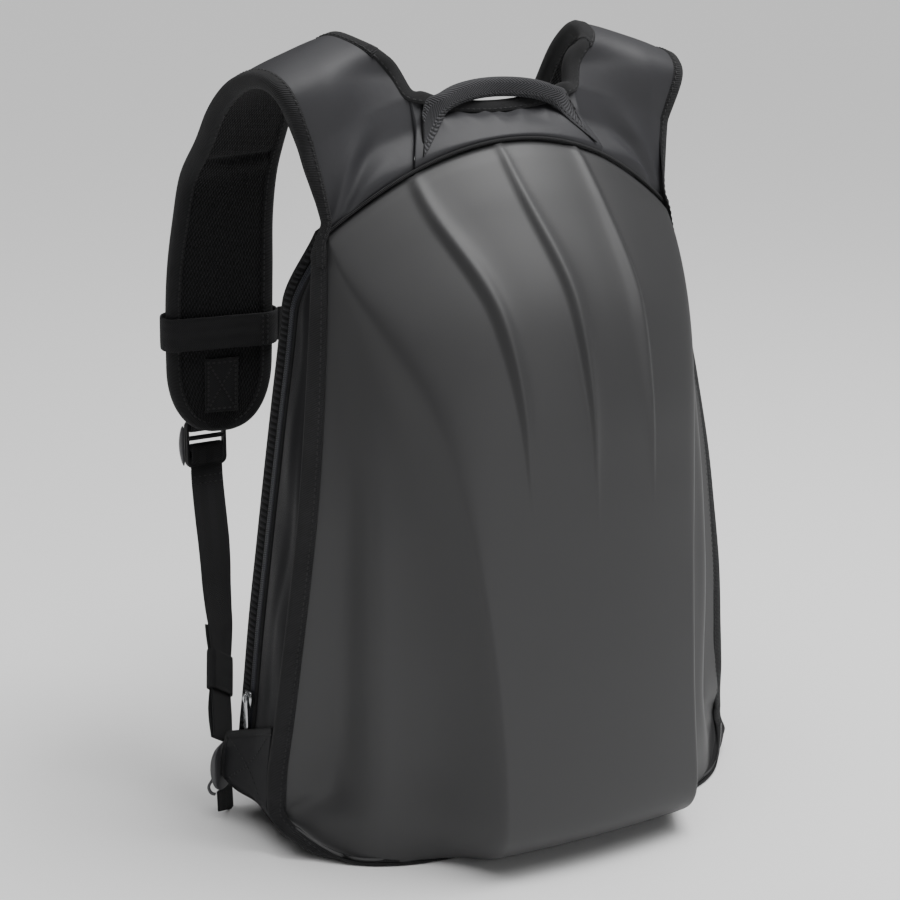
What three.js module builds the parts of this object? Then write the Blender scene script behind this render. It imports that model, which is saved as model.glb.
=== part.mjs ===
// A hard shell backpack with a ribbed moulded front, standing upright on its base as it rests by itself.
// Millimetres, +Z up. The shell looks along -Y, the wearer's back is on the +Y side, and X runs across.
// The origin is on the floor, midway across, straight under the two top corners of the shell.

import * as THREE from "three";
import { mergeVertices } from "three/addons/utils/BufferGeometryUtils.js";

// Shell
const CORNER_HEIGHT = 406.6; // floor to the top corners of the shell
const ARCH_RISE = 53.9; // how far the top seam rises above those corners
const BASE_HALF_WIDTH = 178; // half the width of the shell's rim at the base
const RIM_WAIST = 27.4; // how far forward the side rim sweeps below the corners
const SHELL_REACH = 141; // from the corners forward to the lowest part of the front face
const SHELL_WALL = 2.6;
const RIM_BEVEL = 0.9;
const TURN_HEIGHT = 30; // height where the rounded bottom edge begins
const BOTTOM_TUCK = 85; // how far forward the rim stays under the base
const CORNER_HALF_WIDTH = 172; // half-width at the middle of the rounded lower corner
const CORNER_LIFT = 17.5; // height of that point above the flat part of the rim
const FLAT_HALF_WIDTH = 140; // half-width of the flat part of the bottom rim
const CORNER_POWER = 4.6; // how sharply the bottom rim sweeps back at its corners
const RIB_HEIGHT = 4.6;
const SIDE_RIB_PLACE = 0.53; // side ribs, as a share of the way from the middle to the crease

// Rim binding, side gusset, zipper and back panel
const CLEARANCE = 0.3;
const BINDING_WIDTH = 11;
const BINDING_THICK = 5;
const GUSSET_WALL = 1.5;
const GUSSET_OUTSET = 1.2; // how far the gusset lies outside the rim
const GUSSET_BULGE = 3;
const GUSSET_TOP_DROP = 7;
const ZIP_FRONT = 28;
const ZIP_WIDTH = 10;
const ZIP_THICK = 1.4;
const COIL_WIDTH = 5;
const COIL_HEIGHT = 1.6;
const TOP_INSET = 12; // how far the rear outline draws in at the top corners
const BACK_THICK = 22;
const BACK_TOP_LEAN = 36; // how far forward the back panel leans at the neck
const BACK_LEAN_START = 350;
const BACK_CORNER_TOP = 404;
const BACK_MIDDLE_TOP = 460;

// Yoke, neck binding and grab handle
const YOKE_HALF_WIDTH = 72;
const YOKE_THICK = 8;
const NECK_HEIGHT = 472;
const NECK_SIDE_RISE = 17;
const NECK_BACK = 4;
const NECK_BINDING_REACH = 5;
const HANDLE_END_X = 67; // middle of the pack to the handle's sewn ends
const HANDLE_END_HEIGHT = 464;
const HANDLE_TOP = 492.5;
const HANDLE_LEAN = 10; // how far the handle's parts stand before or behind the corners
const HANDLE_GRIP_HEIGHT = 13;
const HANDLE_GRIP_THICK = 8;
const HANDLE_END_WIDTH = 26;
const HANDLE_END_THICK = 3;

// Shoulder straps
const STRAP_SPREAD = 167; // middle of the pack to the widest place of a strap
const STRAP_REACH = 177; // how far behind the corners a strap hangs
const STRAP_TOP = 526;
const STRAP_THICK = 11;
const STRAP_TIP_HEIGHT = 243;
const EDGE_TAPE_REACH = 3.5;
const EDGE_TAPE_LAP = 1; // how far the tape stands proud of the pad's two faces

// Webbing and buckles
const WEBBING_WIDTH = 24;
const WEBBING_THICK = 1.8;
const LOCK_WIDTH = 32;
const LOCK_HEIGHT = 36;
const LOCK_THICK = 4;
const LOCK_SLOT_WIDTH = 26;
const LOCK_SLOT_HEIGHT = 4.5;
const LOCK_BAR = 3.6;
const KEEPER_WALL = 1.2;
const KEEPER_LENGTH = 28;
const LOWER_BUCKLE_HEIGHT = 34;
const LOWER_BUCKLE_THICK = 6;
const TAIL_LENGTH = 20;
const TAB_RISE = 43; // how far up the strap from its tip the sewn tab starts
const PATCH_RISE = 53;
const PATCH_LENGTH = 40;
const LOCK_INSET = 29; // from a strap's widest place in to the middle of its ladder lock
const LOCK_BACK = 6; // how far behind the strap the lock hangs
const LOCK_DROP = 15; // from the strap's tip down to the lock's middle
const ANCHOR_OUT = 12; // how far the lower buckle stands outside the base
const ANCHOR_BACK = 18; // how far the lower buckle stands behind the zipper
const ANCHOR_HEIGHT = 40;
const CHEST_HEIGHT = 316;
const CHEST_BUCKLE_LENGTH = 46;
const CHEST_BUCKLE_THICK = 9;
const WING_TOP = 66;
const WING_THICK = 2.4;

// Rows from the base (0) to the top corners (1). Half-widths are shares of BASE_HALF_WIDTH, the rim's
// sweep of RIM_WAIST, and the forward reach of crease and middle of SHELL_REACH.
const SHELL_ROWS = [
  { up: 0.0, rim: 1.0, sweep: 0.73, crease: 0.431, creaseOut: 0.96, middleOut: 1.0 },
  { up: 0.07, rim: 0.992, sweep: 0.75, crease: 0.426, creaseOut: 0.943, middleOut: 0.993 },
  { up: 0.17, rim: 0.966, sweep: 0.86, crease: 0.425, creaseOut: 0.913, middleOut: 0.965 },
  { up: 0.3, rim: 0.934, sweep: 0.98, crease: 0.437, creaseOut: 0.866, middleOut: 0.922 },
  { up: 0.425, rim: 0.897, sweep: 1.0, crease: 0.457, creaseOut: 0.81, middleOut: 0.879 },
  { up: 0.55, rim: 0.86, sweep: 0.97, crease: 0.487, creaseOut: 0.748, middleOut: 0.837 },
  { up: 0.68, rim: 0.82, sweep: 0.785, crease: 0.533, creaseOut: 0.655, middleOut: 0.78 },
  { up: 0.8, rim: 0.782, sweep: 0.515, crease: 0.603, creaseOut: 0.482, middleOut: 0.638 },
  { up: 0.93, rim: 0.748, sweep: 0.21, crease: 0.689, creaseOut: 0.175, middleOut: 0.333 },
  { up: 1.0, rim: 0.733, sweep: 0.0, crease: 0.712, creaseOut: 0.006, middleOut: 0.128 },
];

// The flank from the crease (0) to the rim (1) and how far it has fallen back there, as a share of the
// whole fall: terraced over most of the height, plain at the top, and with a lip over the base.
const FLANK = [
  { across: 0.05, terraced: 0.12, plain: 0.07, lip: 0.11 },
  { across: 0.14, terraced: 0.3, plain: 0.18, lip: 0.27 },
  { across: 0.22, terraced: 0.41, plain: 0.28, lip: 0.38 },
  { across: 0.3, terraced: 0.46, plain: 0.38, lip: 0.44 },
  { across: 0.45, terraced: 0.56, plain: 0.54, lip: 0.52 },
  { across: 0.57, terraced: 0.62, plain: 0.66, lip: 0.58 },
  { across: 0.63, terraced: 0.69, plain: 0.71, lip: 0.6 },
  { across: 0.69, terraced: 0.81, plain: 0.77, lip: 0.63 },
  { across: 0.75, terraced: 0.88, plain: 0.82, lip: 0.67 },
  { across: 0.88, terraced: 0.95, plain: 0.92, lip: 0.8 },
  { across: 1.0, terraced: 1.0, plain: 1.0, lip: 1.0 },
];

// Half-widths of a strap's two edges as shares of STRAP_SPREAD, their places behind the corners as shares
// of STRAP_REACH and their heights as shares of STRAP_TOP, from the yoke over the shoulder and down.
const STRAP_ROWS = [
  { outX: 0.826, outY: 0.056, outZ: 0.875, inX: 0.433, inY: 0.0, inZ: 0.93 },
  { outX: 0.892, outY: 0.056, outZ: 0.933, inX: 0.479, inY: 0.096, inZ: 0.977 },
  { outX: 0.922, outY: 0.136, outZ: 0.956, inX: 0.527, inY: 0.209, inZ: 0.996 },
  { outX: 0.94, outY: 0.271, outZ: 0.96, inX: 0.563, inY: 0.35, inZ: 1.0 },
  { outX: 0.958, outY: 0.424, outZ: 0.945, inX: 0.587, inY: 0.52, inZ: 0.968 },
  { outX: 0.976, outY: 0.554, outZ: 0.913, inX: 0.599, inY: 0.661, inZ: 0.913 },
  { outX: 0.982, outY: 0.667, outZ: 0.869, inX: 0.599, inY: 0.763, inZ: 0.861 },
  { outX: 0.988, outY: 0.814, outZ: 0.817, inX: 0.599, inY: 0.831, inZ: 0.814 },
  { outX: 0.994, outY: 0.887, outZ: 0.755, inX: 0.599, inY: 0.87, inZ: 0.755 },
  { outX: 1.0, outY: 0.944, outZ: 0.688, inX: 0.59, inY: 0.893, inZ: 0.688 },
  { outX: 1.0, outY: 0.977, outZ: 0.618, inX: 0.587, inY: 0.91, inZ: 0.618 },
  { outX: 0.994, outY: 1.0, outZ: 0.551, inX: 0.584, inY: 0.932, inZ: 0.551 },
];
// The rounded end of a strap: share of the way from its last row to the tip, and share of the width left.
const STRAP_TIP = [
  { down: 0.34, width: 0.97 },
  { down: 0.62, width: 0.86 },
  { down: 0.83, width: 0.66 },
  { down: 0.95, width: 0.4 },
  { down: 1.0, width: 0.15 },
];

// Materials
const material = (color, roughness, metalness = 0) =>
  new THREE.MeshStandardMaterial({ color, roughness, metalness });
const MATERIALS = {
  shell: material(0x4a4a4b, 0.52),
  coated: material(0x3c3c3e, 0.58),
  tape: material(0x1d1d1e, 0.85),
  mesh: material(0x141415, 0.92),
  webbing: material(0x18181a, 0.8),
  coil: material(0x17191f, 0.45),
  plastic: material(0x161617, 0.42),
  metal: material(0xb9bbbd, 0.28, 1),
};

const group = new THREE.Group();
const v3 = (x, y, z) => new THREE.Vector3(x, y, z);
const DOWN = v3(0, 0, -1);
const mix = THREE.MathUtils.lerp;
const smooth = (value, low, high) => THREE.MathUtils.smoothstep(value, low, high);
const blend = (a, b, share) => a.clone().lerp(b, share);
const steps = (count) => Array.from({ length: count + 1 }, (_, i) => i / count);

// The value of one column of a table at a place along another, on a smooth curve through its rows.
function readTable(table, key, column, place) {
  let last = table.findIndex((row) => row[key] >= place);
  last = THREE.MathUtils.clamp(last < 0 ? table.length - 1 : last, 1, table.length - 1);
  const rows = [last - 2, last - 1, last, last + 1].map((i) => table[Math.min(Math.max(i, 0), table.length - 1)]);
  const [before, start, end, after] = rows;
  const span = end[key] - start[key];
  const share = THREE.MathUtils.clamp((place - start[key]) / span, 0, 1);
  const slope = (a, b) => (b[key] === a[key] ? 0 : ((b[column] - a[column]) / (b[key] - a[key])) * span);
  const s2 = share * share;
  const s3 = s2 * share;
  return (2 * s3 - 3 * s2 + 1) * start[column] + (s3 - 2 * s2 + share) * slope(before, end)
    + (3 * s2 - 2 * s3) * end[column] + (s3 - s2) * slope(start, after);
}

// Closed solids
function solid(points, faces) {
  const geometry = new THREE.BufferGeometry();
  geometry.setAttribute("position", new THREE.Float32BufferAttribute(points.flatMap((p) => [p.x, p.y, p.z]), 3));
  let volume = 0;
  for (const [a, b, c] of faces) volume += points[a].dot(points[b].clone().cross(points[c]));
  geometry.setIndex(volume < 0 ? faces.flatMap(([a, b, c]) => [a, c, b]) : faces.flat());
  return geometry;
}

// A wall between two grids of equal size, closed along its four borders.
function wall(outer, inner) {
  const rows = outer.length;
  const columns = outer[0].length;
  const points = [...outer.flat(), ...inner.flat()];
  const at = (r, c, layer) => layer * rows * columns + r * columns + c;
  const faces = [];
  const quad = (a, b, c, d) => faces.push([a, b, c], [a, c, d]);
  for (let r = 0; r + 1 < rows; r++) {
    for (let c = 0; c + 1 < columns; c++) {
      quad(at(r, c, 0), at(r, c + 1, 0), at(r + 1, c + 1, 0), at(r + 1, c, 0));
      quad(at(r, c, 1), at(r + 1, c, 1), at(r + 1, c + 1, 1), at(r, c + 1, 1));
    }
    quad(at(r, 0, 0), at(r + 1, 0, 0), at(r + 1, 0, 1), at(r, 0, 1));
    quad(at(r + 1, columns - 1, 0), at(r, columns - 1, 0), at(r, columns - 1, 1), at(r + 1, columns - 1, 1));
  }
  for (let c = 0; c + 1 < columns; c++) {
    quad(at(0, c + 1, 0), at(0, c, 0), at(0, c, 1), at(0, c + 1, 1));
    quad(at(rows - 1, c, 0), at(rows - 1, c + 1, 0), at(rows - 1, c + 1, 1), at(rows - 1, c, 1));
  }
  return solid(points, faces);
}

// A solid through a list of closed rings, capped at both ends.
function tube(rings) {
  const sides = rings[0].length;
  const middle = (ring) => ring.reduce((sum, p) => sum.add(p), v3(0, 0, 0)).divideScalar(sides);
  const points = [...rings.flat(), middle(rings[0]), middle(rings.at(-1))];
  const faces = [];
  for (let i = 0; i < sides; i++) {
    const next = (i + 1) % sides;
    for (let r = 0; r + 1 < rings.length; r++) {
      const a = r * sides;
      const b = a + sides;
      faces.push([a + i, a + next, b + next], [a + i, b + next, b + i]);
    }
    const end = (rings.length - 1) * sides;
    faces.push([points.length - 2, next, i], [points.length - 1, end + i, end + next]);
  }
  return solid(points, faces);
}

// Unit normals of a grid, from the directions along its rows and columns.
function gridNormals(grid) {
  const near = (list, i) => [list[Math.max(i - 1, 0)], list[Math.min(i + 1, list.length - 1)]];
  return grid.map((row, r) => row.map((_, c) => {
    const [below, above] = near(grid, r);
    const [left, right] = near(row, c);
    return above[c].clone().sub(below[c]).cross(right.clone().sub(left)).normalize();
  }));
}

const offsetGrid = (grid, vectors, distance) =>
  grid.map((row, r) => row.map((p, c) => p.clone().addScaledVector(vectors[r][c], distance)));

function tangents(path) {
  return path.map((_, i) => path[Math.min(i + 1, path.length - 1)].clone().sub(path[Math.max(i - 1, 0)]).normalize());
}

// A band along a path: from one reach to another along the outward vectors, and thick across them,
// with its two outer corners rounded off.
function edgeBand(path, outward, across, near, far, thick) {
  const corner = Math.min(thick, far - near) * 0.28;
  const half = thick / 2;
  const section = [
    [near, -half], [far - corner, -half], [far, -half + corner],
    [far, half - corner], [far - corner, half], [near, half],
  ];
  return tube(path.map((p, i) => section.map(([o, n]) => {
    const corner = p.clone().addScaledVector(outward[i], o).addScaledVector(across[i], n);
    return corner.setZ(Math.max(corner.z, 0));
  })));
}

// A flat strip of webbing along a path, with its width vectors and the directions of its two cut ends.
function strip(path, widths, width, thick, startWay, endWay) {
  const along = tangents(path);
  along[0] = startWay.clone().normalize();
  along[along.length - 1] = endWay.clone().normalize();
  return tube(path.map((p, i) => {
    const side = widths[i].clone().addScaledVector(along[i], -widths[i].dot(along[i])).normalize();
    const up = side.clone().cross(along[i]).normalize();
    return [[-1, -1], [1, -1], [1, 1], [-1, 1]].map(([a, b]) =>
      p.clone().addScaledVector(side, (a * width) / 2).addScaledVector(up, (b * thick) / 2));
  }));
}

const curveThrough = (points, count) =>
  new THREE.CatmullRomCurve3(points, false, "centripetal").getSpacedPoints(count);

function add(name, geometry, finish) {
  const mesh = new THREE.Mesh(geometry, MATERIALS[finish]);
  mesh.name = name;
  group.add(mesh);
}

// Two mirrored copies of a piece that is made on the -X side.
function addPair(name, geometry, finish) {
  add(`${name}_left`, geometry, finish);
  const mirrored = geometry.clone();
  const position = mirrored.getAttribute("position");
  for (let i = 0; i < position.count; i++) position.setX(i, -position.getX(i));
  const index = mirrored.getIndex().array;
  const flipped = [];
  for (let i = 0; i < index.length; i += 3) flipped.push(index[i], index[i + 2], index[i + 1]);
  mirrored.setIndex(flipped);
  add(`${name}_right`, mirrored, finish);
}

// The shell's outer face. A column is a place across (-1 to 1 for the front face between the creases,
// beyond that the flank), and a row is a height share, or a negative share of the rounded bottom edge.
const side = (value) => (value < 0 ? -1 : 1);

function ribHeight(share, up) {
  const rows = [
    { place: -SIDE_RIB_PLACE, steep: -1, end: 0.52 },
    { place: 0, steep: -1, end: 0.46 },
    { place: SIDE_RIB_PLACE, steep: 1, end: 0.52 },
  ];
  let height = 0;
  for (const { place, steep, end } of rows) {
    const away = (share - place) * steep;
    const reach = away > 0 ? 0.06 : 0.13;
    const fade = smooth(up, end, end + 0.3) * (1 - smooth(up, 0.97, 1));
    height += RIB_HEIGHT * fade * (1 - smooth(Math.abs(away), 0, reach));
  }
  return height;
}

function shellRow(up) {
  const value = (column) => readTable(SHELL_ROWS, "up", column, up);
  return {
    height: mix(TURN_HEIGHT, CORNER_HEIGHT, up),
    half: BASE_HALF_WIDTH * value("rim"),
    rimY: -RIM_WAIST * value("sweep"),
    crease: BASE_HALF_WIDTH * value("crease"),
    creaseY: -SHELL_REACH * value("creaseOut"),
    middleY: -SHELL_REACH * value("middleOut"),
  };
}

function upperPoint(column, up) {
  const row = shellRow(up);
  const place = Math.abs(column);
  let x = place * row.crease;
  let y = mix(row.middleY, row.creaseY, place * place) - ribHeight(column, up);
  if (place > 1) {
    const across = place - 1;
    const flank = [{ across: 0, terraced: 0, plain: 0, lip: 0 }, ...FLANK];
    const terrace = mix(readTable(flank, "across", "plain", across), readTable(flank, "across", "terraced", across),
      1 - smooth(up, 0.62, 0.93));
    const fall = mix(readTable(flank, "across", "lip", across), terrace, smooth(up, 0.0, 0.08));
    x = mix(row.crease, row.half, across);
    y = mix(row.creaseY, row.rimY, fall);
  }
  const arch = ARCH_RISE * up ** 2.2 * (1 - (x / row.half) ** 2);
  return v3(side(column) * x, y, row.height + arch);
}

// The rim under the base, swept back and lifted towards the rounded lower corners.
function bottomRim(x) {
  const place = Math.abs(x) * (CORNER_HALF_WIDTH / BASE_HALF_WIDTH);
  const sweep = (BOTTOM_TUCK - RIM_WAIST * SHELL_ROWS[0].sweep) * (place / BASE_HALF_WIDTH) ** CORNER_POWER;
  const corner = Math.max(0, (place - FLAT_HALF_WIDTH) / (CORNER_HALF_WIDTH - FLAT_HALF_WIDTH));
  return v3(side(x) * place, sweep - BOTTOM_TUCK, BINDING_THICK / 2 + CORNER_LIFT * corner ** 2);
}

function shellPoint(column, row) {
  if (row >= 0) return upperPoint(column, row);
  const start = upperPoint(column, 0);
  const end = bottomRim(start.x);
  const turn = ((1 + row) * Math.PI) / 2;
  return v3(mix(end.x, start.x, 1 + row), mix(end.y, start.y, Math.sin(turn)), mix(end.z, start.z, 1 - Math.cos(turn)));
}

const FRONT_COLUMNS = [0.06, 0.13, 0.27, 0.4, 0.47, 0.53, 0.59, 0.66, 0.83, 1];
const HALF_COLUMNS = [...FRONT_COLUMNS, ...FLANK.map((row) => 1 + row.across)];
const COLUMNS = [...HALF_COLUMNS.map((c) => -c).reverse(), 0, ...HALF_COLUMNS];
const TURN_ROWS = [-1, -0.75, -0.5, -0.25];
const UPPER_ROWS = [0, 0.04, 0.08, 0.17, 0.28, 0.4, 0.5, 0.59, 0.67, 0.74, 0.81, 0.87, 0.92, 0.96, 1];
const shellOuter = [...TURN_ROWS, ...UPPER_ROWS].map((row) => COLUMNS.map((column) => shellPoint(column, row)));
const shellNormals = gridNormals(shellOuter);

// The rim from the left top corner down, round under the base and up to the right one. Each place has
// its height share and the way out from the rim: the flank's own way on the sides, and straight back below.
const RIM_SIDE = [...TURN_ROWS, ...UPPER_ROWS].reverse();
const sideWay = (row) => shellPoint(-2, row).sub(shellPoint(COLUMNS[1], row)).normalize();
const lowerWay = ({ x }) => sideWay(0).lerp(v3(0, 1, 0), 1 - smooth(-x, FLAT_HALF_WIDTH, BASE_HALF_WIDTH));
const RIM = RIM_SIDE.map((row) => {
  const point = shellPoint(-2, row);
  return { point, way: row < 0 ? lowerWay(point) : sideWay(row), up: Math.max(row, 0) };
});
for (const column of COLUMNS.slice(1, (COLUMNS.length + 1) / 2)) {
  const point = shellPoint(column, -1);
  RIM.push({ point, way: lowerWay(point), up: 0 });
}
const mirrorX = (p) => v3(-p.x, p.y, p.z);
for (const { point, way, up } of RIM.slice(0, -1).reverse()) {
  RIM.push({ point: mirrorX(point), way: mirrorX(way), up });
}
const rimAlong = tangents(RIM.map(({ point }) => point));
RIM.forEach((place, i) => {
  place.out = place.way.clone();
  place.out.addScaledVector(rimAlong[i], -place.out.dot(rimAlong[i])).normalize();
  place.front = place.out.clone().cross(rimAlong[i]).normalize();
  place.plane = v3(rimAlong[i].z, 0, -rimAlong[i].x).normalize();
});

// At the rim the shell's inner face lies straight behind the edge and a bevel further in.
function makeShell() {
  const inner = offsetGrid(shellOuter, shellNormals, SHELL_WALL);
  const rows = inner.length;
  const last = COLUMNS.length - 1;
  const behind = ({ point, out, front }) =>
    point.clone().addScaledVector(front, -SHELL_WALL - 2 * CLEARANCE).addScaledVector(out, -RIM_BEVEL);
  inner.forEach((row, r) => {
    row[0] = behind(RIM[rows - 1 - r]);
    row[last] = behind(RIM[rows - 1 + last + r]);
  });
  for (let c = 1; c < last; c++) inner[0][c] = behind(RIM[rows - 1 + c]);
  inner.flat().forEach((p) => p.setZ(Math.max(p.z, BINDING_THICK + 2 * CLEARANCE)));
  add("front_shell", wall(shellOuter, inner), "shell");
}

function makeShellBinding() {
  add("shell_binding", edgeBand(RIM.map((p) => p.point), RIM.map((p) => p.out), RIM.map((p) => p.front),
    4 * CLEARANCE, BINDING_WIDTH + CLEARANCE, BINDING_THICK), "tape");
}

// The back of the pack leans forward towards the neck.
const backLean = (z) => BACK_TOP_LEAN * smooth(z, BACK_LEAN_START, BACK_MIDDLE_TOP);

// The body's outline behind the rim, at a place along the rim and a distance back: flat on the floor
// below, drawn in at the top corners, and moved outwards by a distance.
function outline(place, y, distance = 0) {
  const { point, up, plane } = place;
  const rear = THREE.MathUtils.clamp(y / ZIP_FRONT, 0, 1);
  const inset = TOP_INSET * smooth(up, 0.86, 1) * rear;
  const z = point.z - BINDING_THICK / 2;
  return v3(side(point.x) * (Math.abs(point.x) + GUSSET_OUTSET - inset), y - backLean(z) * rear, z)
    .addScaledVector(plane, distance);
}
const REAR = RIM.filter(({ point }, i) => point.z < CORNER_HEIGHT - GUSSET_TOP_DROP
  && (Math.abs(point.x) > FLAT_HALF_WIDTH * 0.8 || i % 4 === 0));

function gussetPoint(place, share) {
  const start = place.point.clone().addScaledVector(place.out, GUSSET_OUTSET + GUSSET_WALL + 1)
    .addScaledVector(place.front, -BINDING_THICK / 2 - 4 * CLEARANCE);
  const y = mix(start.y, ZIP_FRONT - CLEARANCE, share);
  const clear = start.y + (BINDING_WIDTH + 3) * place.out.y;
  const bulge = GUSSET_BULGE * Math.sin(Math.PI * share) * Math.abs(place.plane.x) ** 2 * smooth(place.up, 0.08, 0.3);
  return blend(start.setY(y), outline(place, y, bulge), smooth(y, clear, clear + 11));
}

function makeGusset() {
  const shares = [0, 0.13, 0.3, 0.6, 1];
  const outer = REAR.map((place) => shares.map((share) => gussetPoint(place, share)));
  const inward = REAR.map((place) => shares.map(() => place.plane.clone().multiplyScalar(-1)));
  add("side_gusset", wall(outer, offsetGrid(outer, inward, GUSSET_WALL)), "coated");
}

function makeZipper() {
  const half = COIL_WIDTH / 2;
  const middle = ZIP_FRONT + ZIP_WIDTH / 2;
  const rings = REAR.map((place) => {
    const coil = COIL_HEIGHT * Math.abs(place.plane.x) ** 2 * smooth(place.up, 0.1, 0.13);
    const section = [
      [ZIP_FRONT, 0], [middle - half, 0], [middle - half * 0.7, coil], [middle + half * 0.7, coil],
      [middle + half, 0], [ZIP_FRONT + ZIP_WIDTH, 0], [ZIP_FRONT + ZIP_WIDTH, -ZIP_THICK], [ZIP_FRONT, -ZIP_THICK],
    ];
    return section.map(([y, out]) => outline(place, y, out));
  });
  add("zipper_tape", tube(rings), "coil");
}

// The padded back panel.
function rearHalfWidth(z) {
  const up = THREE.MathUtils.clamp((z - TURN_HEIGHT) / (CORNER_HEIGHT - TURN_HEIGHT), 0, 1);
  const lowest = CORNER_HALF_WIDTH + (BASE_HALF_WIDTH - CORNER_HALF_WIDTH) * smooth(z, 0, TURN_HEIGHT);
  const half = z < TURN_HEIGHT ? lowest : BASE_HALF_WIDTH * readTable(SHELL_ROWS, "up", "rim", up);
  return half + GUSSET_OUTSET - TOP_INSET * smooth(up, 0.86, 1);
}

function backPoint(across, up, layer) {
  const place = Math.abs(across) * CORNER_HALF_WIDTH;
  const corner = Math.max(0, (place - FLAT_HALF_WIDTH) / (CORNER_HALF_WIDTH - FLAT_HALF_WIDTH));
  const top = mix(BACK_MIDDLE_TOP, BACK_CORNER_TOP, across * across);
  const z = mix(CORNER_LIFT * corner ** 2, top, up);
  const edge = Math.min(1 - Math.abs(across), up * 1.2, (1 - up) * 1.2);
  const full = mix(0.5, 1, Math.sqrt(smooth(edge, 0, 0.14)));
  const front = ZIP_FRONT + ZIP_WIDTH + 2 * CLEARANCE;
  return v3(across * rearHalfWidth(z), front - backLean(z) + layer * BACK_THICK * full, z);
}

function makeBackPanel() {
  const across = [-1, -0.985, -0.94, -0.86, -0.6, -0.3, 0, 0.3, 0.6, 0.86, 0.94, 0.985, 1];
  const up = [0, 0.012, 0.05, 0.11, 0.25, 0.4, 0.55, 0.68, 0.76, 0.81, 0.86, 0.91, 0.96, 0.99, 1];
  const grid = (layer) => up.map((u) => across.map((a) => backPoint(a, u, layer)));
  add("back_panel", wall(grid(0), grid(1)), "mesh");
}

// Yoke and straps start along the shell's top seam, lifted off it by the clearance.
const topRow = shellOuter.length - 1;
function seamPoint(x) {
  const row = shellOuter[topRow];
  const next = Math.max(1, row.findIndex((p) => p.x >= x));
  const share = (x - row[next - 1].x) / (row[next].x - row[next - 1].x);
  const normal = blend(shellNormals[topRow][next - 1], shellNormals[topRow][next], share).normalize();
  const point = blend(row[next - 1], row[next], share);
  const lift = blend(row[next - 1], row[next], share)
    .sub(blend(shellOuter[topRow - 1][next - 1], shellOuter[topRow - 1][next], share)).normalize();
  return { point: point.addScaledVector(lift, CLEARANCE * 1.5), inward: normal };
}

const neckPoint = (x) => {
  const share = (x / YOKE_HALF_WIDTH) ** 2;
  return v3(x, NECK_BACK * (1 - share), NECK_HEIGHT + NECK_SIDE_RISE * share);
};

// A pad: its outer grid, with the wall's direction taken from the shell at the seam, and kept square to X
// in the columns and rows where two pads meet side by side.
function padSolid(outer, seamVectors, thick, turned, meets) {
  const toWearer = gridNormals(outer).map((row, r) => row.map((n, c) => {
    const way = blend(seamVectors[c], n.multiplyScalar(turned), smooth(r, 0, 3));
    return (meets(r, c) ? way.setX(0) : way).normalize();
  }));
  return { outer, inner: offsetGrid(outer, toWearer, thick), toWearer };
}

const YOKE_ACROSS = steps(16).map((s) => mix(-YOKE_HALF_WIDTH, YOKE_HALF_WIDTH, s));
const yokeSeam = YOKE_ACROSS.map(seamPoint);
const yokeOuter = steps(4).map((s) => YOKE_ACROSS.map((x, c) => blend(yokeSeam[c].point, neckPoint(x), s)));
const yoke = padSolid(yokeOuter, yokeSeam.map((p) => p.inward), YOKE_THICK, 1,
  (r, c) => c === 0 || c === YOKE_ACROSS.length - 1);

function makeYoke() {
  add("top_yoke", wall(yoke.outer, yoke.inner), "coated");
  const last = yoke.outer.length - 1;
  const path = YOKE_ACROSS.map((_, c) => blend(yoke.outer[last][c], yoke.inner[last][c], 0.5));
  path[0].lerp(path[1], 0.6);
  path.at(-1).lerp(path.at(-2), 0.6);
  const across = YOKE_ACROSS.map((_, c) => yoke.toWearer[last][c]);
  const along = tangents(path);
  const outward = along.map((t, i) => {
    const up = across[i].clone().cross(t).normalize();
    return up.z < 0 ? up.negate() : up;
  });
  add("neck_binding", edgeBand(path, outward, across, CLEARANCE * 3, NECK_BINDING_REACH,
    YOKE_THICK + 2 * EDGE_TAPE_LAP), "tape");
}

// The left strap: rows from the seam over the shoulder to the rounded tip, columns from its inner edge.
const STRAP_ACROSS = steps(4);
function strapEdges() {
  const edge = (row, name) => v3(-row[`${name}X`] * STRAP_SPREAD, row[`${name}Y`] * STRAP_REACH, row[`${name}Z`] * STRAP_TOP);
  const count = Math.round((STRAP_ROWS.length - 1) * 1.6);
  return [
    curveThrough(STRAP_ROWS.map((row) => edge(row, "in")), count),
    curveThrough(STRAP_ROWS.map((row) => edge(row, "out")), count),
  ];
}

function strapOuterGrid() {
  const [inner, outer] = strapEdges();
  const gap = CLEARANCE * 2;
  inner[0].x = -YOKE_HALF_WIDTH - gap;
  const seam = STRAP_ACROSS.map((a) => seamPoint(mix(-YOKE_HALF_WIDTH - gap, -BASE_HALF_WIDTH * SHELL_ROWS.at(-1).rim + gap, a)));
  const body = inner.map((p, i) => STRAP_ACROSS.map((a) => blend(p, outer[i], a)));
  const root = steps(3).slice(0, 3).map((s) => STRAP_ACROSS.map((_, c) => blend(seam[c].point, body[0][c], s)));
  const last = body.at(-1);
  const drop = mix(last[0].z, last.at(-1).z, 0.5) - STRAP_TIP_HEIGHT;
  const tip = STRAP_TIP.map(({ down, width }) => STRAP_ACROSS.map((a) => {
    const p = blend(last[0], last.at(-1), 0.5 + (a - 0.5) * width);
    return v3(p.x, p.y + (down * drop) / 12, p.z - down * drop);
  }));
  return { grid: [...root, ...body, ...tip], seam, bodyStart: root.length };
}

const strapGrid = strapOuterGrid();
const strap = padSolid(strapGrid.grid, strapGrid.seam.map((p) => p.inward), STRAP_THICK, -1,
  (r, c) => c === 0 && r <= strapGrid.bodyStart);

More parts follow.
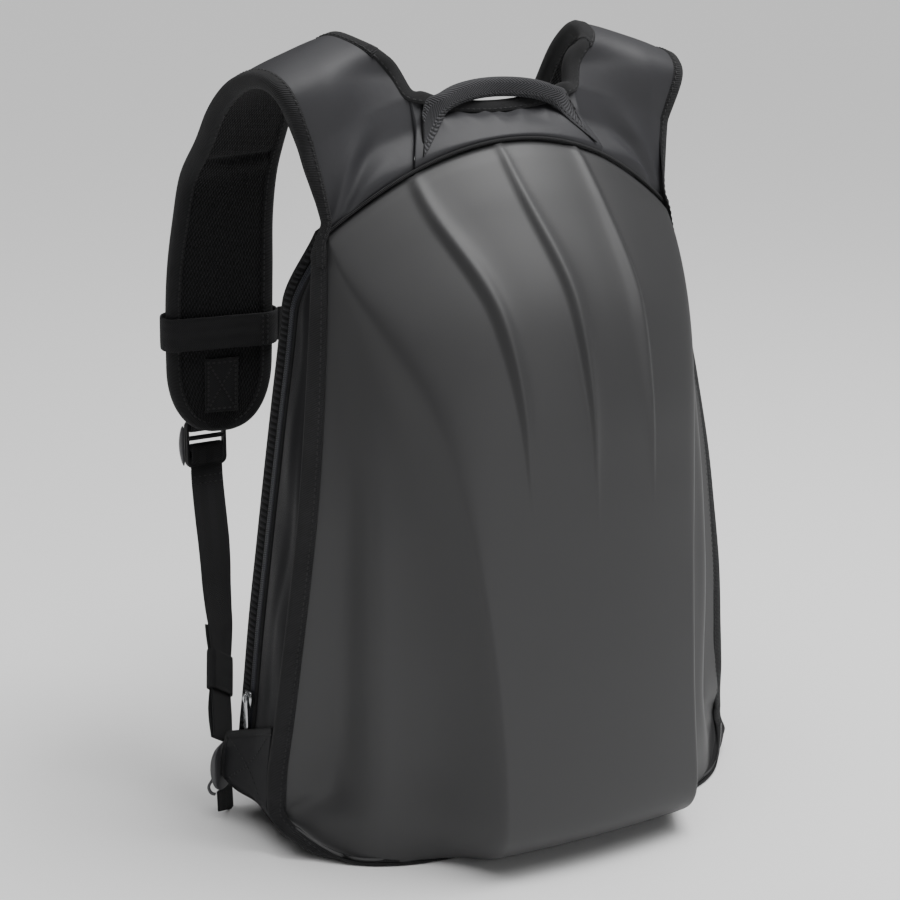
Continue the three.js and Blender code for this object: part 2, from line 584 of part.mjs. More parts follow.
function makeStraps() {
  addPair("strap_pad", wall(strap.outer, strap.inner), "coated");
  const last = strap.outer.length - 1;
  const columns = STRAP_ACROSS.length - 1;
  const border = [];
  for (let r = 0; r < last; r++) border.push([r, columns]);
  for (let c = columns; c >= 0; c--) border.push([last, c]);
  for (let r = last - 1; r >= strapGrid.bodyStart + 1; r--) border.push([r, 0]);
  const path = border.map(([r, c]) => blend(strap.outer[r][c], strap.inner[r][c], 0.5));
  path[0].lerp(path[1], 0.12);
  const across = border.map(([r, c]) => strap.toWearer[r][c]);
  const outward = tangents(path).map((t, i) => across[i].clone().cross(t).normalize().negate());
  addPair("strap_binding", edgeBand(path, outward, across, CLEARANCE, EDGE_TAPE_REACH,
    STRAP_THICK + 2 * EDGE_TAPE_LAP), "tape");
}

// The grab handle: webbing folded to a round grip, whose flat ends are cut upright along the yoke's seams.
function makeHandle() {
  const rows = [
    { x: 1.0, up: 0.0, free: 0 },
    { x: 0.88, up: 0.36, free: 0 },
    { x: 0.68, up: 0.7, free: -0.3 },
    { x: 0.38, up: 0.93, free: -0.05 },
    { x: 0.0, up: 1.0, free: 0.3 },
  ];
  const folded = (x) => 1 - smooth(Math.abs(x) / HANDLE_END_X, 0.6, 1);
  const thickAt = (x) => mix(HANDLE_END_THICK, HANDLE_GRIP_THICK, folded(x)) / 2;
  const yokeFace = (x, z) => {
    const seam = seamPoint(x).point;
    const neck = neckPoint(x);
    return mix(seam.y, neck.y, THREE.MathUtils.clamp((z - seam.z) / (neck.z - seam.z), 0, 1));
  };
  const yokeNormal = (x, z) => {
    const slopeX = (yokeFace(x + 1, z) - yokeFace(x - 1, z)) / 2;
    const slopeZ = (yokeFace(x, z + 1) - yokeFace(x, z - 1)) / 2;
    const free = folded(x);
    return v3(-slopeX * (1 - free), 1, -slopeZ * (1 - free)).normalize();
  };
  const place = ({ x, up, free }) => {
    const across = x * HANDLE_END_X;
    const z = mix(HANDLE_END_HEIGHT, HANDLE_TOP, up);
    return v3(across, yokeFace(across, z) + free * HANDLE_LEAN, z)
      .addScaledVector(yokeNormal(across, z), -thickAt(across) - 4 * CLEARANCE);
  };
  const all = [...rows.map((row) => ({ ...row, x: -row.x })), ...rows.slice(0, -1).reverse()];
  const centre = curveThrough(all.map(place), 24);
  const along = tangents(centre);
  const rings = centre.map((p, i) => {
    const tall = mix(HANDLE_END_WIDTH, HANDLE_GRIP_HEIGHT, folded(p.x)) / 2;
    const thick = thickAt(p.x);
    const normal = yokeNormal(p.x, p.z);
    const up = blend(DOWN, along[i].clone().cross(normal).normalize(), folded(p.x));
    up.addScaledVector(normal, -up.dot(normal)).normalize();
    const back = normal.clone().addScaledVector(along[i], -folded(p.x) * normal.dot(along[i])).normalize();
    return steps(8).slice(0, 8).map((s) => {
      const angle = s * Math.PI * 2;
      const round = (value) => Math.sign(value) * Math.abs(value) ** 0.7;
      return p.clone().addScaledVector(up, tall * round(Math.cos(angle)))
        .addScaledVector(back, thick * round(Math.sin(angle)));
    });
  });
  add("grab_handle", tube(rings), "webbing");
}

// The frame of the strap's hanging part at a height: its middle on the mesh side, and its directions.
function strapFrame(height) {
  const middle = (grid, r) => blend(grid[r][0], grid[r].at(-1), 0.5);
  let r = strap.outer.length - 2;
  while (middle(strap.outer, r).z < height) r -= 1;
  const share = (height - middle(strap.outer, r).z) / (middle(strap.outer, r + 1).z - middle(strap.outer, r).z);
  const at = (grid) => blend(middle(grid, r), middle(grid, r + 1), share);
  const width = blend(strap.outer[r].at(-1), strap.outer[r + 1].at(-1), share)
    .sub(blend(strap.outer[r][0], strap.outer[r + 1][0], share));
  const length = middle(strap.outer, r + 1).sub(middle(strap.outer, r)).normalize();
  const reach = width.length();
  width.normalize();
  const toPack = at(strap.inner).sub(at(strap.outer)).normalize();
  return { coatedFace: at(strap.outer), meshFace: at(strap.inner), width, length, reach, toPack };
}

// Webbing from a strap's tip down to the lower corner of the pack.
const LOCK_CENTRE = v3(LOCK_INSET - STRAP_SPREAD, STRAP_REACH + LOCK_BACK, STRAP_TIP_HEIGHT - LOCK_DROP);
const ANCHOR = v3(-BASE_HALF_WIDTH - ANCHOR_OUT, ZIP_FRONT + ZIP_WIDTH + ANCHOR_BACK, ANCHOR_HEIGHT);

function makeTab() {
  const proud = WEBBING_THICK / 2 + CLEARANCE;
  const place = (height, face, out) => {
    const frame = strapFrame(height);
    return frame[face].clone().addScaledVector(frame.toPack, out);
  };
  const top = STRAP_TIP_HEIGHT + TAB_RISE;
  const { width, length } = strapFrame(top);
  const stop = LOCK_CENTRE.clone().setZ(LOCK_CENTRE.z + LOCK_HEIGHT / 2 + 9.5 * CLEARANCE);
  const path = curveThrough([
    place(top, "coatedFace", -proud),
    place(mix(top, STRAP_TIP_HEIGHT, 0.35), "coatedFace", -proud),
    place(mix(top, STRAP_TIP_HEIGHT, 0.63), "coatedFace", -proud - EDGE_TAPE_LAP),
    stop,
  ], 8);
  addPair("strap_tab", strip(path, path.map(() => width), WEBBING_WIDTH, WEBBING_THICK, length, DOWN), "webbing");
  const patchTop = STRAP_TIP_HEIGHT + PATCH_RISE;
  const patch = [0, 0.5, 1].map((share) => place(patchTop - share * PATCH_LENGTH, "meshFace", proud));
  addPair("strap_patch", strip(patch, patch.map(() => width), WEBBING_WIDTH, WEBBING_THICK, length, length), "webbing");
}

function ladderLock() {
  const half = LOCK_WIDTH / 2;
  const shape = new THREE.Shape();
  const round = 3;
  shape.moveTo(-half, -LOCK_HEIGHT / 2 + round);
  shape.lineTo(-half, LOCK_HEIGHT / 2 - round);
  shape.quadraticCurveTo(-half, LOCK_HEIGHT / 2, -half + round, LOCK_HEIGHT / 2);
  shape.lineTo(half - round, LOCK_HEIGHT / 2);
  shape.quadraticCurveTo(half, LOCK_HEIGHT / 2, half, LOCK_HEIGHT / 2 - round);
  shape.lineTo(half, -LOCK_HEIGHT / 2 + round);
  shape.quadraticCurveTo(half, -LOCK_HEIGHT / 2, half - round, -LOCK_HEIGHT / 2);
  shape.lineTo(-half + round, -LOCK_HEIGHT / 2);
  shape.quadraticCurveTo(-half, -LOCK_HEIGHT / 2, -half, -LOCK_HEIGHT / 2 + round);
  for (const level of [-1, 0, 1]) {
    const low = level * (LOCK_SLOT_HEIGHT + LOCK_BAR) - LOCK_SLOT_HEIGHT / 2;
    const slot = new THREE.Path();
    slot.moveTo(-LOCK_SLOT_WIDTH / 2, low);
    slot.lineTo(LOCK_SLOT_WIDTH / 2, low);
    slot.lineTo(LOCK_SLOT_WIDTH / 2, low + LOCK_SLOT_HEIGHT);
    slot.lineTo(-LOCK_SLOT_WIDTH / 2, low + LOCK_SLOT_HEIGHT);
    slot.closePath();
    shape.holes.push(slot);
  }
  const plate = new THREE.ExtrudeGeometry(shape, { depth: LOCK_THICK, bevelEnabled: false, curveSegments: 3 });
  plate.deleteAttribute("normal");
  plate.deleteAttribute("uv");
  plate.translate(0, 0, -LOCK_THICK / 2);
  plate.rotateX(Math.PI / 2);
  plate.translate(LOCK_CENTRE.x, LOCK_CENTRE.y, LOCK_CENTRE.z);
  return mergeVertices(plate);
}

// The adjuster webbing turns edge-on on its way down. Its places run from 0 at the lock to 1 at the anchor.
const webbingTop = v3(LOCK_CENTRE.x, LOCK_CENTRE.y, LOCK_CENTRE.z - LOCK_HEIGHT / 2 - CLEARANCE - 0.4);
const webbingEnd = ANCHOR.clone().add(v3(0, 0, LOWER_BUCKLE_HEIGHT / 2 + CLEARANCE));
const webbingPath = curveThrough([
  webbingTop,
  blend(webbingTop, webbingEnd, 0.5).add(v3(2, -2, 0)),
  webbingEnd,
], 16);
const webbingWidth = (share) => {
  const angle = THREE.MathUtils.degToRad(mix(0, 42, smooth(share, 0.15, 0.8)));
  return v3(Math.cos(angle), Math.sin(angle), 0);
};

function makeWebbing() {
  addPair("adjuster_webbing", strip(webbingPath, webbingPath.map((_, i) => webbingWidth(i / 16)),
    WEBBING_WIDTH, WEBBING_THICK, DOWN, DOWN), "webbing");
  const direction = webbingEnd.clone().sub(webbingTop).normalize();
  const place = blend(webbingTop, webbingEnd, 0.7);
  const middle = webbingPath.reduce((best, p) => (p.distanceTo(place) < best.distanceTo(place) ? p : best));
  const share = webbingPath.indexOf(middle) / 16;
  const widthway = webbingWidth(share);
  widthway.addScaledVector(direction, -widthway.dot(direction)).normalize();
  const thickway = widthway.clone().cross(direction).normalize();
  const ring = (along, width, thick) => [[-1, -1], [1, -1], [1, 1], [-1, 1]].map(([a, b]) =>
    middle.clone().addScaledVector(direction, along).addScaledVector(widthway, (a * width) / 2)
      .addScaledVector(thickway, (b * thick) / 2));
  const innerWidth = WEBBING_WIDTH + 2.4;
  const innerThick = WEBBING_THICK + 3.2;
  const half = KEEPER_LENGTH / 2;
  const outer = [ring(-half, innerWidth + 2 * KEEPER_WALL, innerThick + 2 * KEEPER_WALL),
    ring(half, innerWidth + 2 * KEEPER_WALL, innerThick + 2 * KEEPER_WALL)];
  const inner = [ring(-half, innerWidth, innerThick), ring(half, innerWidth, innerThick)];
  const points = [...outer.flat(), ...inner.flat()];
  const faces = [];
  for (let i = 0; i < 4; i++) {
    const n = (i + 1) % 4;
    faces.push([i, n, 4 + n], [i, 4 + n, 4 + i]);
    faces.push([8 + i, 12 + n, 8 + n], [8 + i, 12 + i, 12 + n]);
    faces.push([i, 8 + i, 8 + n], [i, 8 + n, n]);
    faces.push([4 + i, 12 + n, 12 + i], [4 + i, 4 + n, 12 + n]);
  }
  addPair("webbing_keeper", solid(points, faces), "webbing");
}

// The lower buckle is a plate bowed away from the pack, and the webbing's tail hangs out under it.
function makeLowerBuckle() {
  const widthway = webbingWidth(1);
  const bowed = v3(-widthway.y, widthway.x, 0);
  const rings = steps(8).map((s) => {
    const z = (0.5 - s) * LOWER_BUCKLE_HEIGHT;
    const bow = Math.sin(s * Math.PI);
    return [[-1, 0], [1, 0], [0.86, 1], [-0.86, 1]].map(([a, b]) =>
      v3(ANCHOR.x, ANCHOR.y, ANCHOR.z + z).addScaledVector(widthway, (a * (WEBBING_WIDTH + 4)) / 2)
        .addScaledVector(bowed, b === 0 ? -1.2 : -1.2 + LOWER_BUCKLE_THICK * mix(0.35, 1, bow)));
  });
  addPair("lower_buckle", tube(rings), "plastic");
  const top = ANCHOR.z - LOWER_BUCKLE_HEIGHT / 2 - CLEARANCE;
  const path = [0, 0.5, 1].map((s) => v3(ANCHOR.x, ANCHOR.y - s, top - s * TAIL_LENGTH));
  addPair("webbing_tail", strip(path, path.map(() => widthway), WEBBING_WIDTH, WEBBING_THICK, DOWN, DOWN), "webbing");
}

// The fabric wing lies on the gusset at the lower corner and carries the buckle on its tip.
function makeWing() {
  const places = RIM.slice(0, RIM_SIDE.length - 2).filter(({ point }) => point.z < WING_TOP + 20);
  const highest = places[0].point.z;
  const lowest = places.at(-1).point.z;
  const back = ZIP_FRONT + ZIP_WIDTH + BACK_THICK * 0.42;
  const grid = (out) => places.map((place) => {
    const down = (highest - place.point.z) / (highest - lowest);
    return steps(4).map((s) => {
      const squeeze = mix(0, 14, s * (1 - down));
      const p = outline(place, mix(-6, back, s), out);
      return p.add(v3(0, 0, -squeeze));
    });
  });
  addPair("corner_wing", wall(grid(COIL_HEIGHT + CLEARANCE + WING_THICK), grid(COIL_HEIGHT + CLEARANCE)), "coated");
}

function makeZipPull() {
  const place = RIM.find(({ point, up }) => point.x < 0 && up > 0.1 && up < 0.2);
  const seat = outline(place, ZIP_FRONT + ZIP_WIDTH / 2, COIL_HEIGHT + 3 * CLEARANCE);
  const out = place.plane;
  const down = v3(0, 0, -1);
  const back = v3(0, 1, 0);
  const block = (from, to, wide, low, high) => [from, to].map((along) => [[-1, low], [1, low], [1, high], [-1, high]]
    .map(([a, b]) => seat.clone().addScaledVector(down, along).addScaledVector(back, (a * wide) / 2).addScaledVector(out, b)));
  addPair("zip_slider", tube([...block(-6, 6, 9, 0, 3.2)]), "metal");
  addPair("zip_pull", tube([...block(-2, 22, 7, 3.6, 5)]), "metal");
}

// The chest strap: a loop round each pad, webbing from each loop and one plain buckle in the middle.
function makeChestStrap() {
  const frame = strapFrame(CHEST_HEIGHT);
  const room = CLEARANCE + EDGE_TAPE_LAP;
  const halfWidth = frame.reach / 2 + EDGE_TAPE_REACH + 1;
  const halfThick = STRAP_THICK / 2 + room + 0.6;
  const rectangle = (target, grow) => {
    const a = halfWidth + grow;
    const b = halfThick + grow;
    target.moveTo(-a + b, -b);
    target.lineTo(a - b, -b);
    target.absarc(a - b, 0, b, -Math.PI / 2, Math.PI / 2, false);
    target.lineTo(-a + b, b);
    target.absarc(-a + b, 0, b, Math.PI / 2, (Math.PI * 3) / 2, false);
    return target;
  };
  const shape = rectangle(new THREE.Shape(), WEBBING_THICK + 2);
  shape.holes.push(rectangle(new THREE.Path(), 2));
  const loop = new THREE.ExtrudeGeometry(shape, { depth: WEBBING_WIDTH, bevelEnabled: false, curveSegments: 4 });
  loop.deleteAttribute("normal");
  loop.deleteAttribute("uv");
  loop.translate(0, 0, -WEBBING_WIDTH / 2);
  const basis = new THREE.Matrix4().makeBasis(frame.width, frame.toPack, frame.width.clone().cross(frame.toPack));
  const padMiddle = blend(frame.coatedFace, frame.meshFace, 0.5);
  basis.setPosition(padMiddle);
  loop.applyMatrix4(basis);
  addPair("chest_loop", mergeVertices(loop), "webbing");
  const start = padMiddle.clone().addScaledVector(frame.width, -halfWidth - WEBBING_THICK - 2 - CLEARANCE - 0.4);
  const end = v3(-CHEST_BUCKLE_LENGTH / 2 - CLEARANCE, start.y + 4, CHEST_HEIGHT);
  const path = curveThrough([start, blend(start, end, 0.5).add(v3(0, 1.5, -1.5)), end], 8);
  addPair("chest_webbing", strip(path, path.map(() => v3(0, 0, 1)), WEBBING_WIDTH, WEBBING_THICK, frame.width.clone().negate(),
    v3(1, 0, 0)), "webbing");
  const buckle = [-1, -0.8, 0.8, 1].map((s) => {
    const share = Math.abs(s) === 1 ? 0.72 : 1;
    const tall = ((WEBBING_WIDTH + 6) / 2) * (Math.abs(s) === 1 ? 0.9 : 1);
    return [[-1, -1], [1, -1], [1, 1], [-1, 1]].map(([a, b]) =>
      v3((s * CHEST_BUCKLE_LENGTH) / 2, end.y + (a * share * CHEST_BUCKLE_THICK) / 2, CHEST_HEIGHT + b * tall));
  });
  add("chest_buckle", tube(buckle), "plastic");
}

makeShell();
makeShellBinding();
makeGusset();
makeZipper();
makeBackPanel();
makeYoke();
makeStraps();
makeHandle();
makeTab();
addPair("ladder_lock", ladderLock(), "plastic");
makeWebbing();
makeLowerBuckle();
makeWing();
makeZipPull();
makeChestStrap();

export default group;
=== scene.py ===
"""The looks of a hard shell backpack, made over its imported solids.

Every shape is a function of two parameters on a numpy grid, in millimetres, in the frame of the solids:
X runs across the pack, +Y points to the wearer's back and +Z is up.
"""

import bpy
import numpy as np
from mathutils import Matrix, Vector


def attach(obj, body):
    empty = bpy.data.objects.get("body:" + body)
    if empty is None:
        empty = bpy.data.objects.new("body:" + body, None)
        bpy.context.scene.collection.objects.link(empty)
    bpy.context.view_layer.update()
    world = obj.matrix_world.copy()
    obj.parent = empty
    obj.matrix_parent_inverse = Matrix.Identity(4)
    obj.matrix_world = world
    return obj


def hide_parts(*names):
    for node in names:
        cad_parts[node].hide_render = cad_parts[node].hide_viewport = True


bl_info = {
    "name": "Hard Shell Backpack",
    "version": (1, 0, 0),
    "blender": (4, 5, 0),
    "location": "View3D > Sidebar > Backpack",
    "description": "Makes the shell, bag, straps and stage of a hard shell backpack",
    "category": "Object",
}

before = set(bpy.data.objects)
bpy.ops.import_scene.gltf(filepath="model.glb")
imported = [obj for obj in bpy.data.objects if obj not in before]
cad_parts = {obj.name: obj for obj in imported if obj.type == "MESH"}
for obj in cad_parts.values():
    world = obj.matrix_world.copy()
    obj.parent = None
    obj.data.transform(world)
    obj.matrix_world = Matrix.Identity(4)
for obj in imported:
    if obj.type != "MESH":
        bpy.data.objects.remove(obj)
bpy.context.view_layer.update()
MM = 0.001
TURN = 2 * np.pi
RIGHT, BACK, UP = np.eye(3)

# Sizes of the solids, in millimetres
CORNER_HEIGHT = 406.6
ARCH_RISE = 53.9
BASE_HALF_WIDTH = 178.0
RIM_WAIST = 27.4
SHELL_REACH = 141.0
TURN_HEIGHT = 30.0
BOTTOM_TUCK = 85.0
CORNER_HALF_WIDTH = 172.0
CORNER_LIFT = 17.5
FLAT_HALF_WIDTH = 140.0
CORNER_POWER = 4.6
BINDING_THICK = 5.0
GUSSET_OUTSET = 1.2
ZIP_FRONT = 28.0
ZIP_WIDTH = 10.0
TOP_INSET = 12.0
BACK_TOP_LEAN = 36.0
BACK_LEAN_START = 350.0
BACK_CORNER_TOP = 404.0
BACK_MIDDLE_TOP = 460.0
YOKE_HALF_WIDTH = 72.0
NECK_HEIGHT = 472.0
NECK_SIDE_RISE = 17.0
NECK_BACK = 4.0
STRAP_SPREAD = 167.0
STRAP_REACH = 177.0
STRAP_TOP = 526.0
STRAP_TIP_HEIGHT = 243.0
TAB_RISE = 43.0
PATCH_TOP = 296.0
PATCH_LENGTH = 40.0
HANDLE_END_X = 67.0
HANDLE_END_HEIGHT = 464.0
HANDLE_TOP = 492.5
HANDLE_LEAN = 10.0
HANDLE_GRIP_HEIGHT = 13.0
HANDLE_GRIP_THICK = 8.0
HANDLE_END_WIDTH = 26.0
HANDLE_END_THICK = 3.0
LOCK_CENTRE = (-138.0, 183.0, 228.0)
CHEST_HEIGHT = 316.0

# Places and sizes of the looks alone, in millimetres
HANG = (-186.5, 56.0, 36.5)
SHELL_WALL = 2.6
GUSSET_WALL = 1.3
SEAM_HALF_WIDTH = 129.0
STRAP_CREASE_HEIGHT = 443.0
NECK_LIFT = 5.0
SETTLE_BACK = 11.0
SETTLE_IN = 10.0
TUCK = 6.0
HANDLE_SAG = 2.0

# Rows of the shell from the base (0) to the top corners (1): the rim's half-width, its sweep forward, the
# crease's half-width, and the reach of crease and middle, as shares of the sizes above.
SHELL_UP = [0.0, 0.07, 0.17, 0.3, 0.425, 0.55, 0.68, 0.8, 0.93, 1.0]
RIM_SHARE = [1.0, 0.992, 0.966, 0.934, 0.897, 0.86, 0.82, 0.782, 0.748, 0.733]
SWEEP_SHARE = [0.73, 0.75, 0.86, 0.98, 1.0, 0.97, 0.785, 0.515, 0.21, 0.0]
CREASE_SHARE = [0.431, 0.426, 0.425, 0.437, 0.459, 0.495, 0.553, 0.633, 0.718, 0.729]
CREASE_OUT = [0.96, 0.943, 0.913, 0.866, 0.808, 0.74, 0.628, 0.43, 0.15, 0.006]
MIDDLE_OUT = [1.0, 0.993, 0.965, 0.922, 0.879, 0.837, 0.78, 0.638, 0.333, 0.128]

# The flank from the crease (0) to the rim (1): how far it has fallen back, as a share of the whole fall.
FLANK_ACROSS = [0.0, 0.05, 0.14, 0.22, 0.3, 0.45, 0.57, 0.63, 0.69, 0.75, 0.88, 1.0]
TERRACE_ACROSS = [0.0, 0.05, 0.14, 0.22, 0.3, 0.42, 0.54, 0.6, 0.64, 0.71, 0.745, 0.8, 0.9, 1.0]
TERRACE_FALL = [0.0, 0.12, 0.3, 0.41, 0.47, 0.53, 0.57, 0.595, 0.64, 0.86, 0.895, 0.915, 0.957, 1.0]
FLANK_PLAIN = [0.0, 0.07, 0.18, 0.28, 0.38, 0.54, 0.66, 0.71, 0.77, 0.82, 0.92, 1.0]
FLANK_LIP = [0.0, 0.11, 0.27, 0.38, 0.45, 0.54, 0.61, 0.66, 0.73, 0.8, 0.915, 1.0]

# Rows of a strap's outer and inner edge from the yoke over the shoulder and down.
STRAP_ROWS = [
    (0.826, 0.056, 0.875, 0.433, 0.0, 0.93), (0.892, 0.056, 0.933, 0.479, 0.096, 0.977),
    (0.922, 0.136, 0.956, 0.527, 0.209, 0.996), (0.94, 0.271, 0.96, 0.563, 0.35, 1.0),
    (0.958, 0.424, 0.945, 0.587, 0.52, 0.968), (0.976, 0.554, 0.913, 0.599, 0.661, 0.913),
    (0.982, 0.667, 0.869, 0.599, 0.763, 0.861), (0.988, 0.814, 0.817, 0.599, 0.831, 0.814),
    (0.994, 0.887, 0.755, 0.599, 0.87, 0.755), (1.0, 0.944, 0.688, 0.59, 0.893, 0.688),
    (1.0, 0.977, 0.618, 0.587, 0.91, 0.618), (0.994, 1.0, 0.551, 0.584, 0.932, 0.551),
]


class BackpackSizes(bpy.types.PropertyGroup):
    """Sizes of the details that lie on the solids."""

    rib_height: bpy.props.FloatProperty(
        name="Rib height", description="How far the ribs stand out of the shell", default=4.6 * MM,
        unit="LENGTH", subtype="DISTANCE")
    binding_width: bpy.props.FloatProperty(
        name="Binding width", description="Width of the tape round the shell's rim", default=11 * MM,
        unit="LENGTH", subtype="DISTANCE")
    strap_thickness: bpy.props.FloatProperty(
        name="Strap thickness", description="Thickness of a shoulder pad at its middle", default=11 * MM,
        unit="LENGTH", subtype="DISTANCE")
    webbing_width: bpy.props.FloatProperty(
        name="Webbing width", description="Width of the adjuster webbing", default=24 * MM,
        unit="LENGTH", subtype="DISTANCE")
    stitch_length: bpy.props.FloatProperty(
        name="Stitch length", description="Length of one stitch", default=3 * MM,
        unit="LENGTH", subtype="DISTANCE")


class BackpackColours(bpy.types.PropertyGroup):
    """Colours of the finishes."""

    shell: bpy.props.FloatVectorProperty(
        name="Shell", description="Colour of the moulded shell", default=(0.031, 0.031, 0.032),
        subtype="COLOR", size=3, min=0, max=1)
    coated: bpy.props.FloatVectorProperty(
        name="Coated fabric", description="Colour of the coated fabric", default=(0.026, 0.026, 0.029),
        subtype="COLOR", size=3, min=0, max=1)
    tape: bpy.props.FloatVectorProperty(
        name="Binding tape", description="Colour of the binding tape", default=(0.008, 0.008, 0.0085),
        subtype="COLOR", size=3, min=0, max=1)
    webbing: bpy.props.FloatVectorProperty(
        name="Webbing", description="Colour of the webbing", default=(0.007, 0.007, 0.0076),
        subtype="COLOR", size=3, min=0, max=1)
    mesh: bpy.props.FloatVectorProperty(
        name="Air mesh", description="Colour of the mesh on back and straps", default=(0.0045, 0.0045, 0.005),
        subtype="COLOR", size=3, min=0, max=1)
    coil: bpy.props.FloatVectorProperty(
        name="Zipper coil", description="Colour of the zipper's coil", default=(0.012, 0.014, 0.022),
        subtype="COLOR", size=3, min=0, max=1)
    plastic: bpy.props.FloatVectorProperty(
        name="Buckles", description="Colour of the buckles", default=(0.014, 0.014, 0.015),
        subtype="COLOR", size=3, min=0, max=1)
    metal: bpy.props.FloatVectorProperty(
        name="Zipper pull", description="Colour of the slider and its pull", default=(0.5, 0.51, 0.52),
        subtype="COLOR", size=3, min=0, max=1)
    floor: bpy.props.FloatVectorProperty(
        name="Floor", description="Colour of the floor and backdrop", default=(0.86, 0.86, 0.86),
        subtype="COLOR", size=3, min=0, max=1)


# Numbers and curves

def smooth(value, low, high):
    """A smooth step from 0 at low to 1 at high."""
    share = np.clip((np.asarray(value, float) - low) / (high - low), 0, 1)
    return share * share * (3 - 2 * share)


def mix(a, b, share):
    """A value between a and b, by share."""
    return a + (b - a) * share


def unit(vectors):
    """Vectors scaled to length 1."""
    return vectors / np.maximum(np.linalg.norm(vectors, axis=-1, keepdims=True), 1e-9)


def through(places, values, at):
    """A cubic curve through (place, value) rows, whose slope at a row is the slope between its neighbours."""
    places = np.asarray(places, float)
    values = np.asarray(values, float)
    slope = np.empty_like(values)
    slope[1:-1] = ((values[2:] - values[:-2]).T / (places[2:] - places[:-2])).T
    slope[0] = (values[1] - values[0]) / (places[1] - places[0])
    slope[-1] = (values[-1] - values[-2]) / (places[-1] - places[-2])
    at = np.clip(np.asarray(at, float), places[0], places[-1])
    last = np.clip(np.searchsorted(places, at), 1, len(places) - 1)
    span = places[last] - places[last - 1]
    t = (at - places[last - 1]) / span
    if values.ndim > 1:
        t = t[..., None]
        span = span[..., None]
    return ((2 * t**3 - 3 * t**2 + 1) * values[last - 1] + (t**3 - 2 * t**2 + t) * span * slope[last - 1]
            + (3 * t**2 - 2 * t**3) * values[last] + (t**3 - t**2) * span * slope[last])


def run_of(path):
    """Distance along a path at each of its points."""
    return np.concatenate([[0.0], np.cumsum(np.linalg.norm(np.diff(path, axis=0), axis=1))])


def resample(path, count, *others):
    """The path, and any other arrays along it, at count places an equal distance apart."""
    run = run_of(path)
    at = np.linspace(0, run[-1], count)
    read = [np.stack([np.interp(at, run, a[:, k]) for k in range(a.shape[1])], 1) for a in (path, *others)]
    return read if others else read[0]


def curve(points, count):
    """A smooth curve through a few points, resampled evenly."""
    points = np.asarray(points, float)
    run = np.concatenate([[0.0], np.cumsum(np.sqrt(np.linalg.norm(np.diff(points, axis=0), axis=1)))])
    return resample(through(run, points, np.linspace(0, run[-1], count * 4)), count)


def along_of(path):
    """Unit directions along a path."""
    return unit(np.gradient(path, axis=0))


def soften(values, rounds, axis=0):
    """Values averaged with their neighbours along an axis, with the ends kept."""
    values = np.moveaxis(np.array(values, float), axis, 0)
    for _ in range(rounds):
        values[1:-1] = values[1:-1] * 0.5 + (values[2:] + values[:-2]) * 0.25
    return np.moveaxis(values, 0, axis)


def normals_of(grid):
    """Unit normals of a grid, from the directions along its rows and its columns."""
    return unit(np.cross(np.gradient(grid, axis=0), np.gradient(grid, axis=1)))


def mirrored(points):
    """Points on the other side of the pack."""
    return points * np.array([-1.0, 1.0, 1.0])


# Meshes

